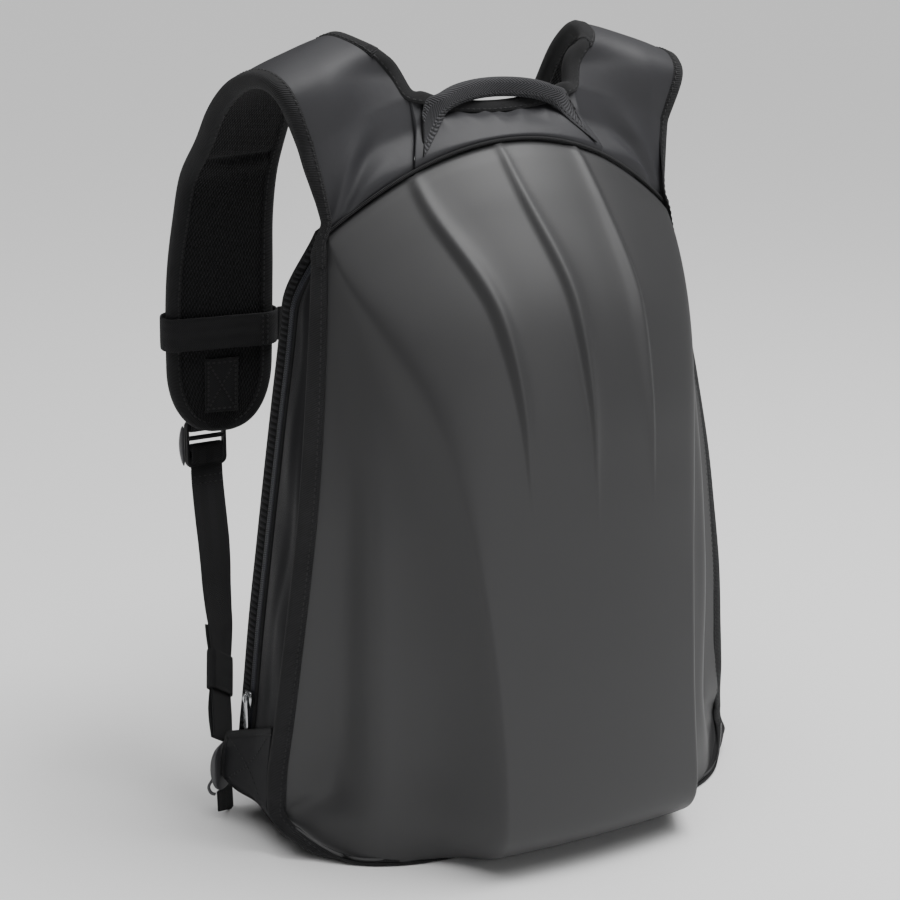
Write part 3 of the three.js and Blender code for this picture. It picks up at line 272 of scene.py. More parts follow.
class Shape:
    """Skins of quads that together make one mesh, each with its place on the cloth and its finish."""

    def __init__(self):
        self.points, self.faces, self.coords, self.kinds, self.count = [], [], [], [], 0

    def put(self, points, faces, coords, kind):
        """Adds points and faces, a list of equal-sized face arrays with the cloth place of each corner."""
        for rows, places in zip(faces, coords):
            self.faces += (rows + self.count).tolist()
            self.coords.append(places.reshape(-1, 2))
            self.kinds += [kind] * len(rows)
        self.points.append(points)
        self.count += len(points)

    def closed(self, points, faces, coords, kind=0):
        """Adds a closed skin with its faces turned outwards."""
        volume = sum(np.einsum("ij,ij->", points[f[:, 0]], np.cross(points[f[:, i]], points[f[:, i + 1]]))
                     for f in faces for i in range(1, f.shape[1] - 1))
        if volume < 0:
            faces = [f[:, ::-1] for f in faces]
            coords = [c[:, ::-1] for c in coords]
        self.put(points, faces, coords, kind)

    def wall(self, outer, inner, kind=0):
        """A closed wall between two grids of the same size."""
        rows, columns = outer.shape[:2]
        size = rows * columns
        u = np.repeat(run_of(outer[:, columns // 2])[:, None], columns, 1)
        v = np.repeat(run_of(outer[rows // 2])[None], rows, 0)
        r, c = (a.ravel() for a in np.mgrid[0:rows - 1, 0:columns - 1])
        a, b = r * columns + c, r * columns + c + 1
        quads = np.stack([a, b, b + columns, a + columns], 1)
        index = np.arange(size).reshape(rows, columns)
        border = np.concatenate([index[0, :-1], index[:-1, -1], index[-1, :0:-1], index[:0:-1, 0]])
        after = np.roll(border, -1)
        rim = np.stack([after, border, border + size, after + size], 1)
        faces = np.concatenate([quads, quads[:, ::-1] + size, rim])
        places = np.stack([u.ravel(), v.ravel()], 1)
        places = np.concatenate([places, places])
        points = np.concatenate([outer.reshape(-1, 3), inner.reshape(-1, 3)])
        self.closed(points, [faces], [places[faces]], kind)

    def tube(self, rings, kind=0, loop=False):
        """A closed tube through rings of points, capped at both ends unless it joins up in a loop."""
        rows, sides = rings.shape[:2]
        middle = rings.mean(axis=1)
        step = np.linalg.norm(middle - np.roll(middle, 1, axis=0), axis=1)
        u = np.cumsum(np.concatenate([[0.0], step[1:], step[:1]]))
        v = run_of(np.concatenate([rings[rows // 2], rings[rows // 2][:1]]))
        r, c = (a.ravel() for a in np.mgrid[0:rows if loop else rows - 1, 0:sides])
        across, onward = (c + 1) % sides, (r + 1) % rows
        quads = np.stack([r * sides + c, r * sides + across, onward * sides + across, onward * sides + c], 1)
        places = np.stack([np.stack([u[r], v[c]], 1), np.stack([u[r], v[c + 1]], 1),
                           np.stack([u[r + 1], v[c + 1]], 1), np.stack([u[r + 1], v[c]], 1)], 1)
        faces, coords = [quads], [places]
        if not loop:
            for row, turn in ((0, -1), (rows - 1, 1)):
                cap = (row * sides + np.arange(sides))[::turn][None]
                faces.append(cap)
                coords.append(np.stack([np.full(sides, u[row]), v[:sides][::turn]], 1)[None])
        self.closed(rings.reshape(-1, 3), faces, coords, kind)

    def copies(self, template, quads, centres, frames, kind=0):
        """The same small closed shape at many places, each turned by a frame of three directions."""
        points = centres[:, None] + np.einsum("tk,nkd->ntd", template, frames)
        faces = (quads[None] + (np.arange(len(centres)) * len(template))[:, None, None]).reshape(-1, 4)
        flat = np.repeat(template[:, :2][None], len(centres), 0).reshape(-1, 2)
        self.closed(points.reshape(-1, 3), [faces], [flat[faces]], kind)

    def make(self, name, finishes, slot, nodes=()):
        """Makes the object, rides it on the pack and lets it stand for its solids."""
        mesh = bpy.data.meshes.new(name)
        points = np.concatenate(self.points)
        if slot != "shell":
            points = tucked(points)
        mesh.from_pydata((points * MM).tolist(), [], self.faces)
        mesh.uv_layers.new(name="Cloth").data.foreach_set("uv", (np.concatenate(self.coords) * MM).ravel())
        mesh.polygons.foreach_set("material_index", self.kinds)
        mesh.polygons.foreach_set("use_smooth", [True] * len(self.faces))
        for finish in finishes:
            mesh.materials.append(finish)
        mesh.update()
        piece = bpy.data.objects.new(name, mesh)
        bpy.context.scene.collection.objects.link(piece)
        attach(piece, "root")
        if nodes:
            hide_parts(*nodes)
        return piece


def rod_template(sides, rows, lengths, widths):
    """A closed rod along X: rings at lengths, each a circle scaled by widths, with pinched ends."""
    angle = np.arange(sides) / sides * 2 * np.pi
    ring = np.stack([np.zeros(sides), np.cos(angle), np.sin(angle)], 1)
    points = np.concatenate([ring * [0, w, w] + [x, 0, 0] for x, w in zip(lengths, widths)])
    r, c = (a.ravel() for a in np.mgrid[0:rows - 1, 0:sides])
    n = (c + 1) % sides
    quads = np.stack([r * sides + c, r * sides + n, (r + 1) * sides + n, (r + 1) * sides + c], 1)
    end = (rows - 1) * sides
    caps = [[0, 3, 2, 1], [0, 5, 4, 3], [end, end + 1, end + 2, end + 3], [end, end + 3, end + 4, end + 5]]
    return points, np.concatenate([quads, caps])


def stitch_row(shape, path, up, length, thick=0.55, gap=0.9, kind=0):
    """Stitches along a path: each is a short rod that dips into the cloth at its two ends."""
    run = run_of(path)
    count = max(int(run[-1] / (length + gap)), 2)
    path, up = resample(path, count, up)
    along = along_of(path)
    up = unit(up)
    side = unit(np.cross(up, along))
    half = length / 2
    lengths = [-half, -half * 0.6, half * 0.6, half]
    points, quads = rod_template(6, 4, lengths, [thick * 0.35, thick, thick, thick * 0.35])
    points = points * [1, 1, 0.8] - [0, 0, 0.1]
    points[np.abs(points[:, 0]) > half * 0.9, 2] -= thick * 0.7
    shape.copies(points, quads, path, np.stack([along, side, up], 1), kind)


def band(path, outward, front, section, wide=1.0, thick=1.0):
    """A closed section of (outward, front) places carried along a path, never below the floor."""
    wide = np.broadcast_to(wide, len(path))[:, None]
    thick = np.broadcast_to(thick, len(path))[:, None]
    rings = sweep(path, np.asarray(section, float), outward * wide, front * thick)
    rings[..., 2] = np.maximum(rings[..., 2], 0.0)
    return rings


def sweep(path, section, one, two):
    """A section carried along a path; its two directions are the same all along or one for each place."""
    one, two = (np.broadcast_to(way, path.shape)[:, None] for way in (one, two))
    return path[:, None] + one * section[None, :, :1] + two * section[None, :, 1:]


def ring_angles(sides):
    """Angles round a section, none of them on an axis."""
    return (np.arange(sides) + 0.5) / sides * 2 * np.pi


def squared(value, power):
    """A sine or cosine raised to a power with its sign kept, which squares a circle off."""
    return np.sign(value) * np.abs(value) ** power


def round_section(half_wide, half_thick, sides, power=0.6):
    """A closed section between an ellipse and a rectangle: cosine and sine raised to a power."""
    across, up = squared(np.cos(ring_angles(sides)), power), squared(np.sin(ring_angles(sides)), power)
    return np.stack([half_wide * across, half_thick * up], 1)


# Shader nodes

class Socket:
    """One output of a shader node, so that shader maths on values reads as arithmetic."""

    def __init__(self, finish, out):
        self.finish, self.out = finish, out

    def math(self, operation, *others):
        """A Math node on this value and others."""
        return self.finish.node("ShaderNodeMath", {"operation": operation}, dict(enumerate([self, *others])))

    def __add__(self, other):
        return self.math("ADD", other)

    def __mul__(self, other):
        return self.math("MULTIPLY", other)

    def __sub__(self, other):
        return self.math("SUBTRACT", other)

    def __rsub__(self, other):
        return self.finish.node("ShaderNodeMath", {"operation": "SUBTRACT"}, {0: other, 1: self})

    __radd__, __rmul__ = __add__, __mul__

    def wave(self):
        """Sine of the value."""
        return self.math("SINE")

    def step(self, low, high):
        """A smooth step from 0 at low to 1 at high."""
        return self.finish.node("ShaderNodeMapRange", {"interpolation_type": "SMOOTHSTEP"},
                                {0: self, 1: low, 2: high, 3: 0.0, 4: 1.0})


class Finish:
    """A procedural material: its node tree, its shader and the places that patterns read."""

    def __init__(self, name, colour, roughness, **constants):
        self.material = bpy.data.materials.new(name)
        self.material.use_nodes = True
        self.tree = self.material.node_tree
        self.shader = self.tree.nodes["Principled BSDF"]
        self.shader.inputs["Base Color"].default_value = (*colour, 1)
        self.shader.inputs["Roughness"].default_value = roughness
        for socket, value in constants.items():
            self.shader.inputs[socket.replace("_", " ")].default_value = value
        self.colour = tuple(colour)
        self.spot = self.node("ShaderNodeTexCoord", {}, {}, "Object")

    def node(self, kind, settings, inputs, output=0):
        """A node of a type, with its settings set first and then the values or links of its sockets."""
        made = self.tree.nodes.new(kind)
        for key, value in settings.items():
            setattr(made, key, value)
        for key, value in inputs.items():
            if isinstance(value, Socket):
                self.tree.links.new(value.out, made.inputs[key])
            else:
                made.inputs[key].default_value = value
        return Socket(self, made.outputs[output])

    def noise(self, scale, detail, roughness, stretch=(1, 1, 1)):
        """Noise at a scale per metre, stretched along the axes."""
        place = self.node("ShaderNodeMapping", {}, {"Vector": self.spot, "Scale": stretch})
        return self.node("ShaderNodeTexNoise", {}, {"Vector": place, "Scale": scale, "Detail": detail,
                                                    "Roughness": roughness})

    def cloth(self):
        """The two places along and across the cloth, in metres."""
        place = self.node("ShaderNodeUVMap", {"uv_map": "Cloth"}, {})
        split = self.node("ShaderNodeSeparateXYZ", {}, {0: place})
        return split, Socket(self, split.out.node.outputs[1])

    def shade(self, amount, low, high):
        """The base colour between low and high times itself, by an amount."""
        mixed = self.node("ShaderNodeMix", {"data_type": "RGBA"}, {
            0: amount, 6: (*(c * low for c in self.colour), 1), 7: (*(c * high for c in self.colour), 1)}, 2)
        self.link(mixed, "Base Color")

    def rough(self, amount, low, high):
        """Roughness between low and high, by an amount."""
        self.link(amount * (high - low) + low, "Roughness")

    def bump(self, *layers):
        """Bumps from (height, distance) layers, each on top of the one before."""
        normal = None
        for height, distance in layers:
            inputs = {"Height": height, "Distance": distance, "Strength": 1.0}
            if normal:
                inputs["Normal"] = normal
            normal = self.node("ShaderNodeBump", {}, inputs)
        self.link(normal, "Normal")

    def link(self, value, socket):
        """Links a value to one of the shader's sockets."""
        self.tree.links.new(value.out, self.shader.inputs[socket])


def moulded_finish(colour):
    """The shell's soft matte skin: a fine grain, with faint wide clouds in its gloss."""
    skin = Finish("Moulded shell", colour, 0.5, Specular_IOR_Level=0.45)
    grain = skin.noise(1500.0, 3.0, 0.6)
    clouds = skin.noise(14.0, 3.0, 0.55)
    skin.shade(clouds * 0.7 + grain * 0.3, 0.9, 1.1)
    skin.rough(clouds * 0.5 + grain * 0.5, 0.44, 0.58)
    skin.bump((grain, 0.00005))
    return skin.material


def coated_finish(name, colour, gloss=0.36):
    """Coated cloth: smooth and matte over a very fine plain weave, with soft handling marks."""
    skin = Finish(name, colour, 0.5, Specular_IOR_Level=gloss)
    u, v = skin.cloth()
    weave = (u * (TURN / 0.0007)).wave() * (v * (TURN / 0.0007)).wave()
    marks = skin.noise(30.0, 4.0, 0.6)
    grain = skin.noise(2200.0, 2.0, 0.6)
    skin.shade(marks * 0.6 + grain * 0.4, 0.86, 1.14)
    skin.rough(marks, 0.5, 0.64)
    skin.bump((marks, 0.0004), (weave * 0.5 + grain, 0.00003))
    return skin.material


def tape_finish(name, colour, rib=0.0011, slant=0.35):
    """Ribbed twill tape: ribs across it, a finer slanted yarn on each rib, and worn light fibres."""
    tape = Finish(name, colour, 0.85, Specular_IOR_Level=0.22, Sheen_Weight=0.05, Sheen_Roughness=0.5)
    u, v = tape.cloth()
    ribs = ((u + v * slant) * (TURN / rib)).wave() * 0.5 + 0.5
    yarn = ((v - u * 0.5) * (TURN / 0.0006)).wave() * 0.5 + 0.5
    fuzz = tape.noise(1400.0, 3.0, 0.7)
    wear = tape.noise(55.0, 3.0, 0.6)
    height = ribs * 0.7 + yarn * 0.18 + fuzz * 0.2
    # The colour follows the ribs and yarn: painted highlight on their crests and painted shade in the grooves
    # between, over real worn light fibres from the wear noise.
    tape.shade(ribs * 0.75 + wear * 0.5 + yarn * 0.2 - 0.25, 0.3, 3.2)
    tape.rough(ribs, 0.92, 0.74)
    tape.bump((height, 0.00035))
    return tape.material


def webbing_finish(name, colour, yarn=0.0016):
    """Woven webbing: yarns in a herringbone, two to a rib."""
    web = Finish(name, colour, 0.8, Specular_IOR_Level=0.25, Sheen_Weight=0.04, Sheen_Roughness=0.5)
    u, v = web.cloth()
    zigzag = (v * (TURN / 0.011)).wave().math("ARCSINE") * 0.0026
    cord = ((u + zigzag) * (TURN / yarn)).wave() * 0.5 + 0.5
    fine = (v * (TURN / 0.0009)).wave() * 0.5 + 0.5
    fuzz = web.noise(1500.0, 3.0, 0.7)
    # The colour follows the woven cords: painted highlight on the cords and painted shade between them, with
    # random fuzz.
    web.shade(cord * 0.75 + fuzz * 0.35 + fine * 0.1 - 0.1, 0.3, 2.9)
    web.rough(cord, 0.88, 0.7)
    web.bump((cord * 0.7 + fine * 0.15 + fuzz * 0.2, 0.0005))
    return web.material


def mesh_finish(name, colour):
    """Open spacer mesh: rows of long cells set half a cell apart, with painted shade in the cells' pits and
    painted highlight on their rims.
    """
    net = Finish(name, colour, 0.85, Specular_IOR_Level=0.2, Sheen_Weight=0.03, Sheen_Roughness=0.5)
    u, v = net.cloth()
    across = v * (1 / 0.0044)
    along = (u + v * 0.4) * (1 / 0.0050)
    first = (across * TURN).wave() * (along * np.pi).wave()
    second = (across * TURN).math("COSINE") * (along * np.pi).math("COSINE")
    pits = (first * first + second * second * 0.7).math("SQRT").step(0.25, 0.85)
    fuzz = net.noise(1600.0, 2.0, 0.7)
    # Colour from the cells: painted shade in the pits and painted highlight on the rims, with a little random
    # fuzz.
    net.shade((1 - pits) * 0.85 + fuzz * 0.15, 0.2, 4.2)
    net.bump(((1 - pits) + fuzz * 0.15, 0.0009))
    return net.material


def coil_finish(colour):
    """The zipper's nylon coil: smooth and satin."""
    coil = Finish("Zipper coil", colour, 0.36, Specular_IOR_Level=0.6)
    grain = coil.noise(900.0, 2.0, 0.5)
    coil.shade(grain, 0.8, 1.4)
    coil.rough(grain, 0.3, 0.45)
    coil.bump((grain, 0.00004))
    return coil.material


def plastic_finish(name, colour, roughness=0.42):
    """Moulded buckle plastic: satin, with a fine spark-eroded grain and soft handling marks."""
    plastic = Finish(name, colour, roughness, Specular_IOR_Level=0.5)
    grain = plastic.noise(1800.0, 3.0, 0.6)
    marks = plastic.noise(90.0, 4.0, 0.65)
    plastic.shade(marks, 0.8, 1.35)
    plastic.rough(marks * 0.6 + grain * 0.4, roughness - 0.1, roughness + 0.12)
    plastic.bump((grain, 0.00004))
    return plastic.material


def metal_finish(colour):
    """Plated zinc: bright, with fine scratches and small cloudy patches."""
    metal = Finish("Plated metal", colour, 0.22, Metallic=1.0)
    scratch = metal.noise(500.0, 4.0, 0.7, (1, 1, 0.08))
    clouds = metal.noise(160.0, 3.0, 0.5)
    metal.shade(clouds, 0.8, 1.1)
    metal.rough(scratch * 0.6 + clouds * 0.4, 0.16, 0.34)
    metal.bump((scratch, 0.00003))
    return metal.material


def thread_finish(colour):
    """Sewing thread: a twisted yarn with a slight gloss."""
    thread = Finish("Sewing thread", colour, 0.6, Specular_IOR_Level=0.4)
    u, v = thread.cloth()
    twist = ((u + v * 2.0) * (TURN / 0.0007)).wave() * 0.5 + 0.5
    # The colour follows the twist: painted highlight on its crests and painted shade in its grooves.
    thread.shade(twist, 0.7, 1.5)
    thread.bump((twist, 0.0001))
    return thread.material


def stage_finish(colour):
    """Matte paper of the floor."""
    paper = Finish("Stage paper", colour, 0.9)
    fibre = paper.noise(400.0, 3.0, 0.6)
    paper.shade(fibre, 0.995, 1.005)
    paper.rough(fibre, 0.86, 0.94)
    return paper.material


FINISHES = {}


def finishes(colours):
    """All finishes by name, made once."""
    if not FINISHES:
        FINISHES.update({
            "shell": moulded_finish(colours.shell),
            "coated": coated_finish("Coated cloth", colours.coated),
            # The side cloth is the coated cloth darkened to 0.43 of its colour: painted shade on the pack's
            # sides, with a lower gloss.
            "side": coated_finish("Side cloth with painted shade", tuple(0.43 * c for c in colours.coated), 0.16),
            "tape": tape_finish("Binding tape", colours.tape),
            "twill": tape_finish("Zipper and neck twill", colours.tape, 0.0008, 1.0),
            "webbing": webbing_finish("Woven webbing", colours.webbing),
            "grip": webbing_finish("Handle twill", tuple(3.2 * c for c in colours.webbing), 0.0024),
            "mesh": mesh_finish("Air mesh", colours.mesh),
            "coil": coil_finish(colours.coil),
            "plastic": plastic_finish("Buckle plastic", colours.plastic),
            "bow": plastic_finish("Lower buckle plastic", tuple(4 * c for c in colours.plastic), 0.38),
            "metal": metal_finish(colours.metal),
            "thread": thread_finish(tuple(1.6 * c for c in colours.tape)),
            "stage": stage_finish(colours.floor),
        })
    return FINISHES


# The shell

# The ribs: place across, the side of the steep slope and the height share where the rib ends.
RIB_PLACES = [(-0.53, -1, 0.5), (0.0, -1, 0.47), (0.53, 1, 0.5)]
RIB_LEAN = -0.1
RIB_GATHER = 0.06


def shell_row(up):
    """Half-widths and reaches of the shell's section at a height share."""
    read = lambda values: through(SHELL_UP, values, up)
    return {
        "height": mix(TURN_HEIGHT, CORNER_HEIGHT, up),
        "half": BASE_HALF_WIDTH * read(RIM_SHARE),
        "rim": -RIM_WAIST * read(SWEEP_SHARE),
        "crease": BASE_HALF_WIDTH * read(CREASE_SHARE),
        "crease_out": -SHELL_REACH * read(CREASE_OUT),
        "middle_out": -SHELL_REACH * read(MIDDLE_OUT),
    }


def rib_height(share, up, height):
    """Three blades: each rises over its wide inner slope to a ridge and drops over its steep outer one."""
    total = np.zeros(np.broadcast(share, up).shape)
    for place, steep, end in RIB_PLACES:
        wide = mix(0.25, 1, smooth(up, end, 0.8)) * mix(1, 0.6, smooth(up, 0.84, 1))
        line = place - np.sign(place) * RIB_GATHER * smooth(up, 0.5, 0.8) + RIB_LEAN * smooth(up, 0.8, 1)
        away = (share - line) * steep
        rise = height * smooth(up, end, 0.82) * mix(1, 0.62, smooth(up, 0.86, 1))
        steep_side = smooth(1 - np.clip(away / (0.05 * wide), 0, 1), 0, 1)
        fall = 1 - np.clip(-away / (0.19 * wide), 0, 1)
        crest = np.exp(-((away / (0.046 * wide)) ** 2))
        total = total + rise * np.where(away > 0, steep_side, 0.56 * crest + 0.44 * fall * fall)
    return total


def upper_point(column, up, ribs):
    """The shell above its bottom edge: a crowned front face between two creases, then a terraced flank."""
    row = shell_row(up)
    place = np.abs(column)
    x = place * row["crease"]
    y = mix(row["middle_out"], row["crease_out"], place**2)
    across = np.clip(place - 1, 0, 1)
    read = lambda values: through(FLANK_ACROSS, values, across)
    shifted = np.clip(across + 0.06 * np.sin(np.pi * across) * (1 - smooth(up, 0.05, 0.5)), 0, 1)
    step = through(TERRACE_ACROSS, TERRACE_FALL, shifted)
    terrace = mix(read(FLANK_PLAIN), step, 1 - smooth(up, 0.62, 0.93))
    fall = mix(read(FLANK_LIP), terrace, smooth(up, 0.0, 0.08))
    flank = place > 1
    x = np.where(flank, mix(row["crease"], row["half"], across), x)
    y = np.where(flank, mix(row["crease_out"], row["rim"], fall), y)
    arch = ARCH_RISE * up**2.2 * (1 - (x / row["half"]) ** 2)
    y = y - np.where(flank, 0, rib_height(column, up, ribs))
    return np.stack([np.sign(column) * x, y, row["height"] + arch], -1)


def bottom_rim(x):
    """The rim under the base, swept back and lifted towards the rounded lower corners."""
    place = np.abs(x) * (CORNER_HALF_WIDTH / BASE_HALF_WIDTH)
    swept = (BOTTOM_TUCK - RIM_WAIST * SWEEP_SHARE[0]) * (place / BASE_HALF_WIDTH) ** CORNER_POWER
    corner = np.maximum(0, (place - FLAT_HALF_WIDTH) / (CORNER_HALF_WIDTH - FLAT_HALF_WIDTH))
    lift = BINDING_THICK / 2 + CORNER_LIFT * corner**2
    return np.stack([np.sign(x) * place, swept - BOTTOM_TUCK, lift], -1)


def shell_point(column, row, ribs=0.0):
    """The shell at a column (-2 to 2) and a row (-1 to 0 round the bottom edge, 0 to 1 above it)."""
    column, row = np.broadcast_arrays(np.asarray(column, float), np.asarray(row, float))
    upper = upper_point(column, np.clip(row, 0, 1), ribs)
    end = bottom_rim(upper[..., 0])
    turn = np.clip(1 + row, 0, 1)
    angle = turn * np.pi / 2
    lower = np.stack([mix(end[..., 0], upper[..., 0], turn), mix(end[..., 1], upper[..., 1], np.sin(angle)),
                      mix(end[..., 2], upper[..., 2], 1 - np.cos(angle))], -1)
    return np.where(row[..., None] < 0, lower, upper)


# The step's groove in millimetres over the flank, across from the crease and up from the base.
GROOVE_LINE = [(69, 272), (68, 240), (67.5, 210), (67, 172), (66, 134), (65, 95), (63.5, 56), (64, 30),
               (68, 17), (76, 8), (86, 2), (94, -7), (102, -22)]


def groove_depth(column, row, depth):
    """A valley along the groove's line, as deep as the square of a bell curve over the distance to it."""
    line = curve([(a, b, 0) for a, b in GROOVE_LINE], 120)
    flank = np.maximum(np.abs(column) - 1, -0.2) * 100
    height = np.where(row > 0, row * (CORNER_HEIGHT - TURN_HEIGHT), row * 45)
    away = np.sqrt((flank[..., None] - line[:, 0]) ** 2 + (height[..., None] - line[:, 1]) ** 2).min(axis=-1)
    strength = mix(0.3, 1.0, 1 - smooth(height, 20, 110)) * (1 - smooth(height, 200, 272))
    return depth * strength * np.exp(-((away / mix(6, 8, 1 - smooth(height, 20, 80))) ** 2))


def shell_grid(columns, rows, ribs):
    """The shell's outer face on a grid, closer at the ribs, with its creases softened across."""
    fine = np.linspace(0, 2, 2001)
    density = 1 + 1.8 * np.exp(-((fine - 0.53) / 0.07) ** 2) + 1.8 * np.exp(-((fine / 0.07) ** 2))
    density = np.cumsum(density + 0.6 * np.exp(-((fine - 1) / 0.1) ** 2))
    half = np.interp(np.linspace(density[0], density[-1], columns), density, fine)
    column = np.concatenate([-half[:0:-1], half])
    row = np.concatenate([np.linspace(-1, 0, rows // 7)[:-1], np.linspace(0, 1, rows - rows // 7)])
    plain = soften(shell_point(column[None], row[:, None]), 7, 1)
    plain = mix(plain, soften(plain, 70, 1), smooth(row, 0.35, 0.8)[:, None, None])
    ridge = rib_height(np.clip(column, -1, 1)[None], np.clip(row, 0, 1)[:, None], ribs)
    ridge = np.where(np.abs(column)[None] < 1, ridge, 0) * (row[:, None] > 0)
    foot = smooth(row, -1, -0.5) * (1 - smooth(row, 0.14, 0.3))
    plain = mix(plain, soften(plain, 50, 0), foot[:, None, None])
    plain[..., 1] += groove_depth(column[None], row[:, None], 3.8) - soften(ridge, 1, 1)
    return plain, row


def rim_frames():
    """The rim from the left top corner down, round under the base and up, with its way out and its front."""
    rows = np.concatenate([np.linspace(1, 0, 240), np.linspace(0, -1, 24)[1:]])
    columns = -1 - np.linspace(1, 0, 140)[1:]
    inner = -2 + 0.04
    side = shell_point(-2.0, rows)
    way = unit(side - shell_point(inner, rows))
    across = np.concatenate([columns, np.linspace(-1, 0, 90)[1:]])
    base = shell_point(across, -1.0)
    path = np.concatenate([side, base])
    up = np.concatenate([np.maximum(rows, 0), np.zeros(len(base))])
    start = unit(shell_point(-2.0, 0.0) - shell_point(inner, 0.0))
    lower = mix(start, np.array([0, 1.0, 0]), 1 - smooth(-path[:, :1], FLAT_HALF_WIDTH, BASE_HALF_WIDTH))
    low = np.concatenate([rows < 0, np.ones(len(base), bool)])
    way = np.where(low[:, None], lower, np.concatenate([way, base * 0]))
    path = np.concatenate([path, mirrored(path[-2::-1])])
    way = np.concatenate([way, mirrored(way[-2::-1])])
    up = np.concatenate([up, up[-2::-1]])
    path, way, up = resample(path, 1000, way, up[:, None])
    along = along_of(path)
    out = unit(soften(way - along * np.sum(way * along, 1, keepdims=True), 6))
    out = unit(out - along * np.sum(out * along, 1, keepdims=True))
    front = unit(np.cross(out, along))
    plane = unit(np.stack([along[:, 2], along[:, 0] * 0, -along[:, 0]], 1))
    return {"point": path, "out": out, "front": front, "plane": plane, "up": up[:, 0]}


RIM = rim_frames()


def back_lean(z):
    """How far forward the rear of the bag leans at a height."""
    return BACK_TOP_LEAN * smooth(z, BACK_LEAN_START, BACK_MIDDLE_TOP)


def outline(rim, y, distance=0.0):
    """The body's outline behind the rim, at a place back and a distance out of it."""
    point, up, plane = rim["point"], rim["up"], rim["plane"]
    rear = np.clip(y / ZIP_FRONT, 0, 1)
    inset = TOP_INSET * smooth(up, 0.86, 1) * rear
    x = np.sign(point[:, 0]) * (np.abs(point[:, 0]) + GUSSET_OUTSET - inset)
    z = point[:, 2] - BINDING_THICK / 2
    lean = back_lean(z) * rear
    return np.stack([x, y - lean, z], 1) + plane * np.reshape(distance, (-1, 1))


def rim_part(keep):
    """The rim's rows at the places kept."""
    return {key: value[keep] for key, value in RIM.items()}


def rear_rim(top):
    """The part of the rim below a height."""
    keep = RIM["point"][:, 2] < top
    return rim_part(keep)


class BACKPACK_OT_shell(bpy.types.Operator):
    """Makes the ribbed front shell."""

    bl_idname = "backpack.shell"
    bl_label = "Front shell"

    def execute(self, context):
        look = finishes(context.scene.backpack_colours)
        ribs = context.scene.backpack_sizes.rib_height / MM
        outer, row = shell_grid(150, 155, ribs)
        inward = normals_of(outer)
        inner = outer + inward * SHELL_WALL
        inner[0, :, 2] = outer[0, :, 2] + 3.0
        fold = smooth(row, 0.982, 1.0)[:, None, None]
        outer = outer + inward * fold * 2.0
        shape = Shape()
        shape.wall(outer, inner)
        shape.make("moulded_shell", [look["shell"]], "shell", ["front_shell"])
        return {"FINISHED"}


class BACKPACK_OT_binding(bpy.types.Operator):
    """Makes the taped rim of the shell with its row of stitches."""

    bl_idname = "backpack.binding"
    bl_label = "Shell binding"

    def execute(self, context):
        look = finishes(context.scene.backpack_colours)
        sizes = context.scene.backpack_sizes
        width = sizes.binding_width / MM
        section = [(-1.6, 0.3), (-1.2, 1.5), (-0.2, 2.2), (1.6, 2.35), (3.4, 2.75), (6, 2.9),
                   (width - 2, 2.7), (width - 0.5, 2.0), (width + 0.3, 0.6), (width + 0.3, -0.8),
                   (width - 0.7, -2.1), (width - 3, -2.6), (4, -2.6), (1, -2.4), (0.4, -1.2), (0.2, 0.2)]
        shape = Shape()
        wide = 1 - 0.5 * smooth(RIM["up"], 0.965, 1) - 0.32 * np.exp(-(((RIM["point"][:, 2] - 15) / 14) ** 2))
        front = unit(soften(RIM["front"], 14))
        out = unit(soften(RIM["out"], 14))
        shape.tube(band(RIM["point"], out, front, section, wide))
        path = RIM["point"] + RIM["out"] * 1.7 + RIM["front"] * 2.4
        keep = path[:, 2] > 1.5
        stitch_row(shape, path[keep], RIM["front"][keep], sizes.stitch_length / MM, kind=1)
        shape.make("rim_binding", [look["tape"], look["thread"]], "tape", ["shell_binding"])
        return {"FINISHED"}


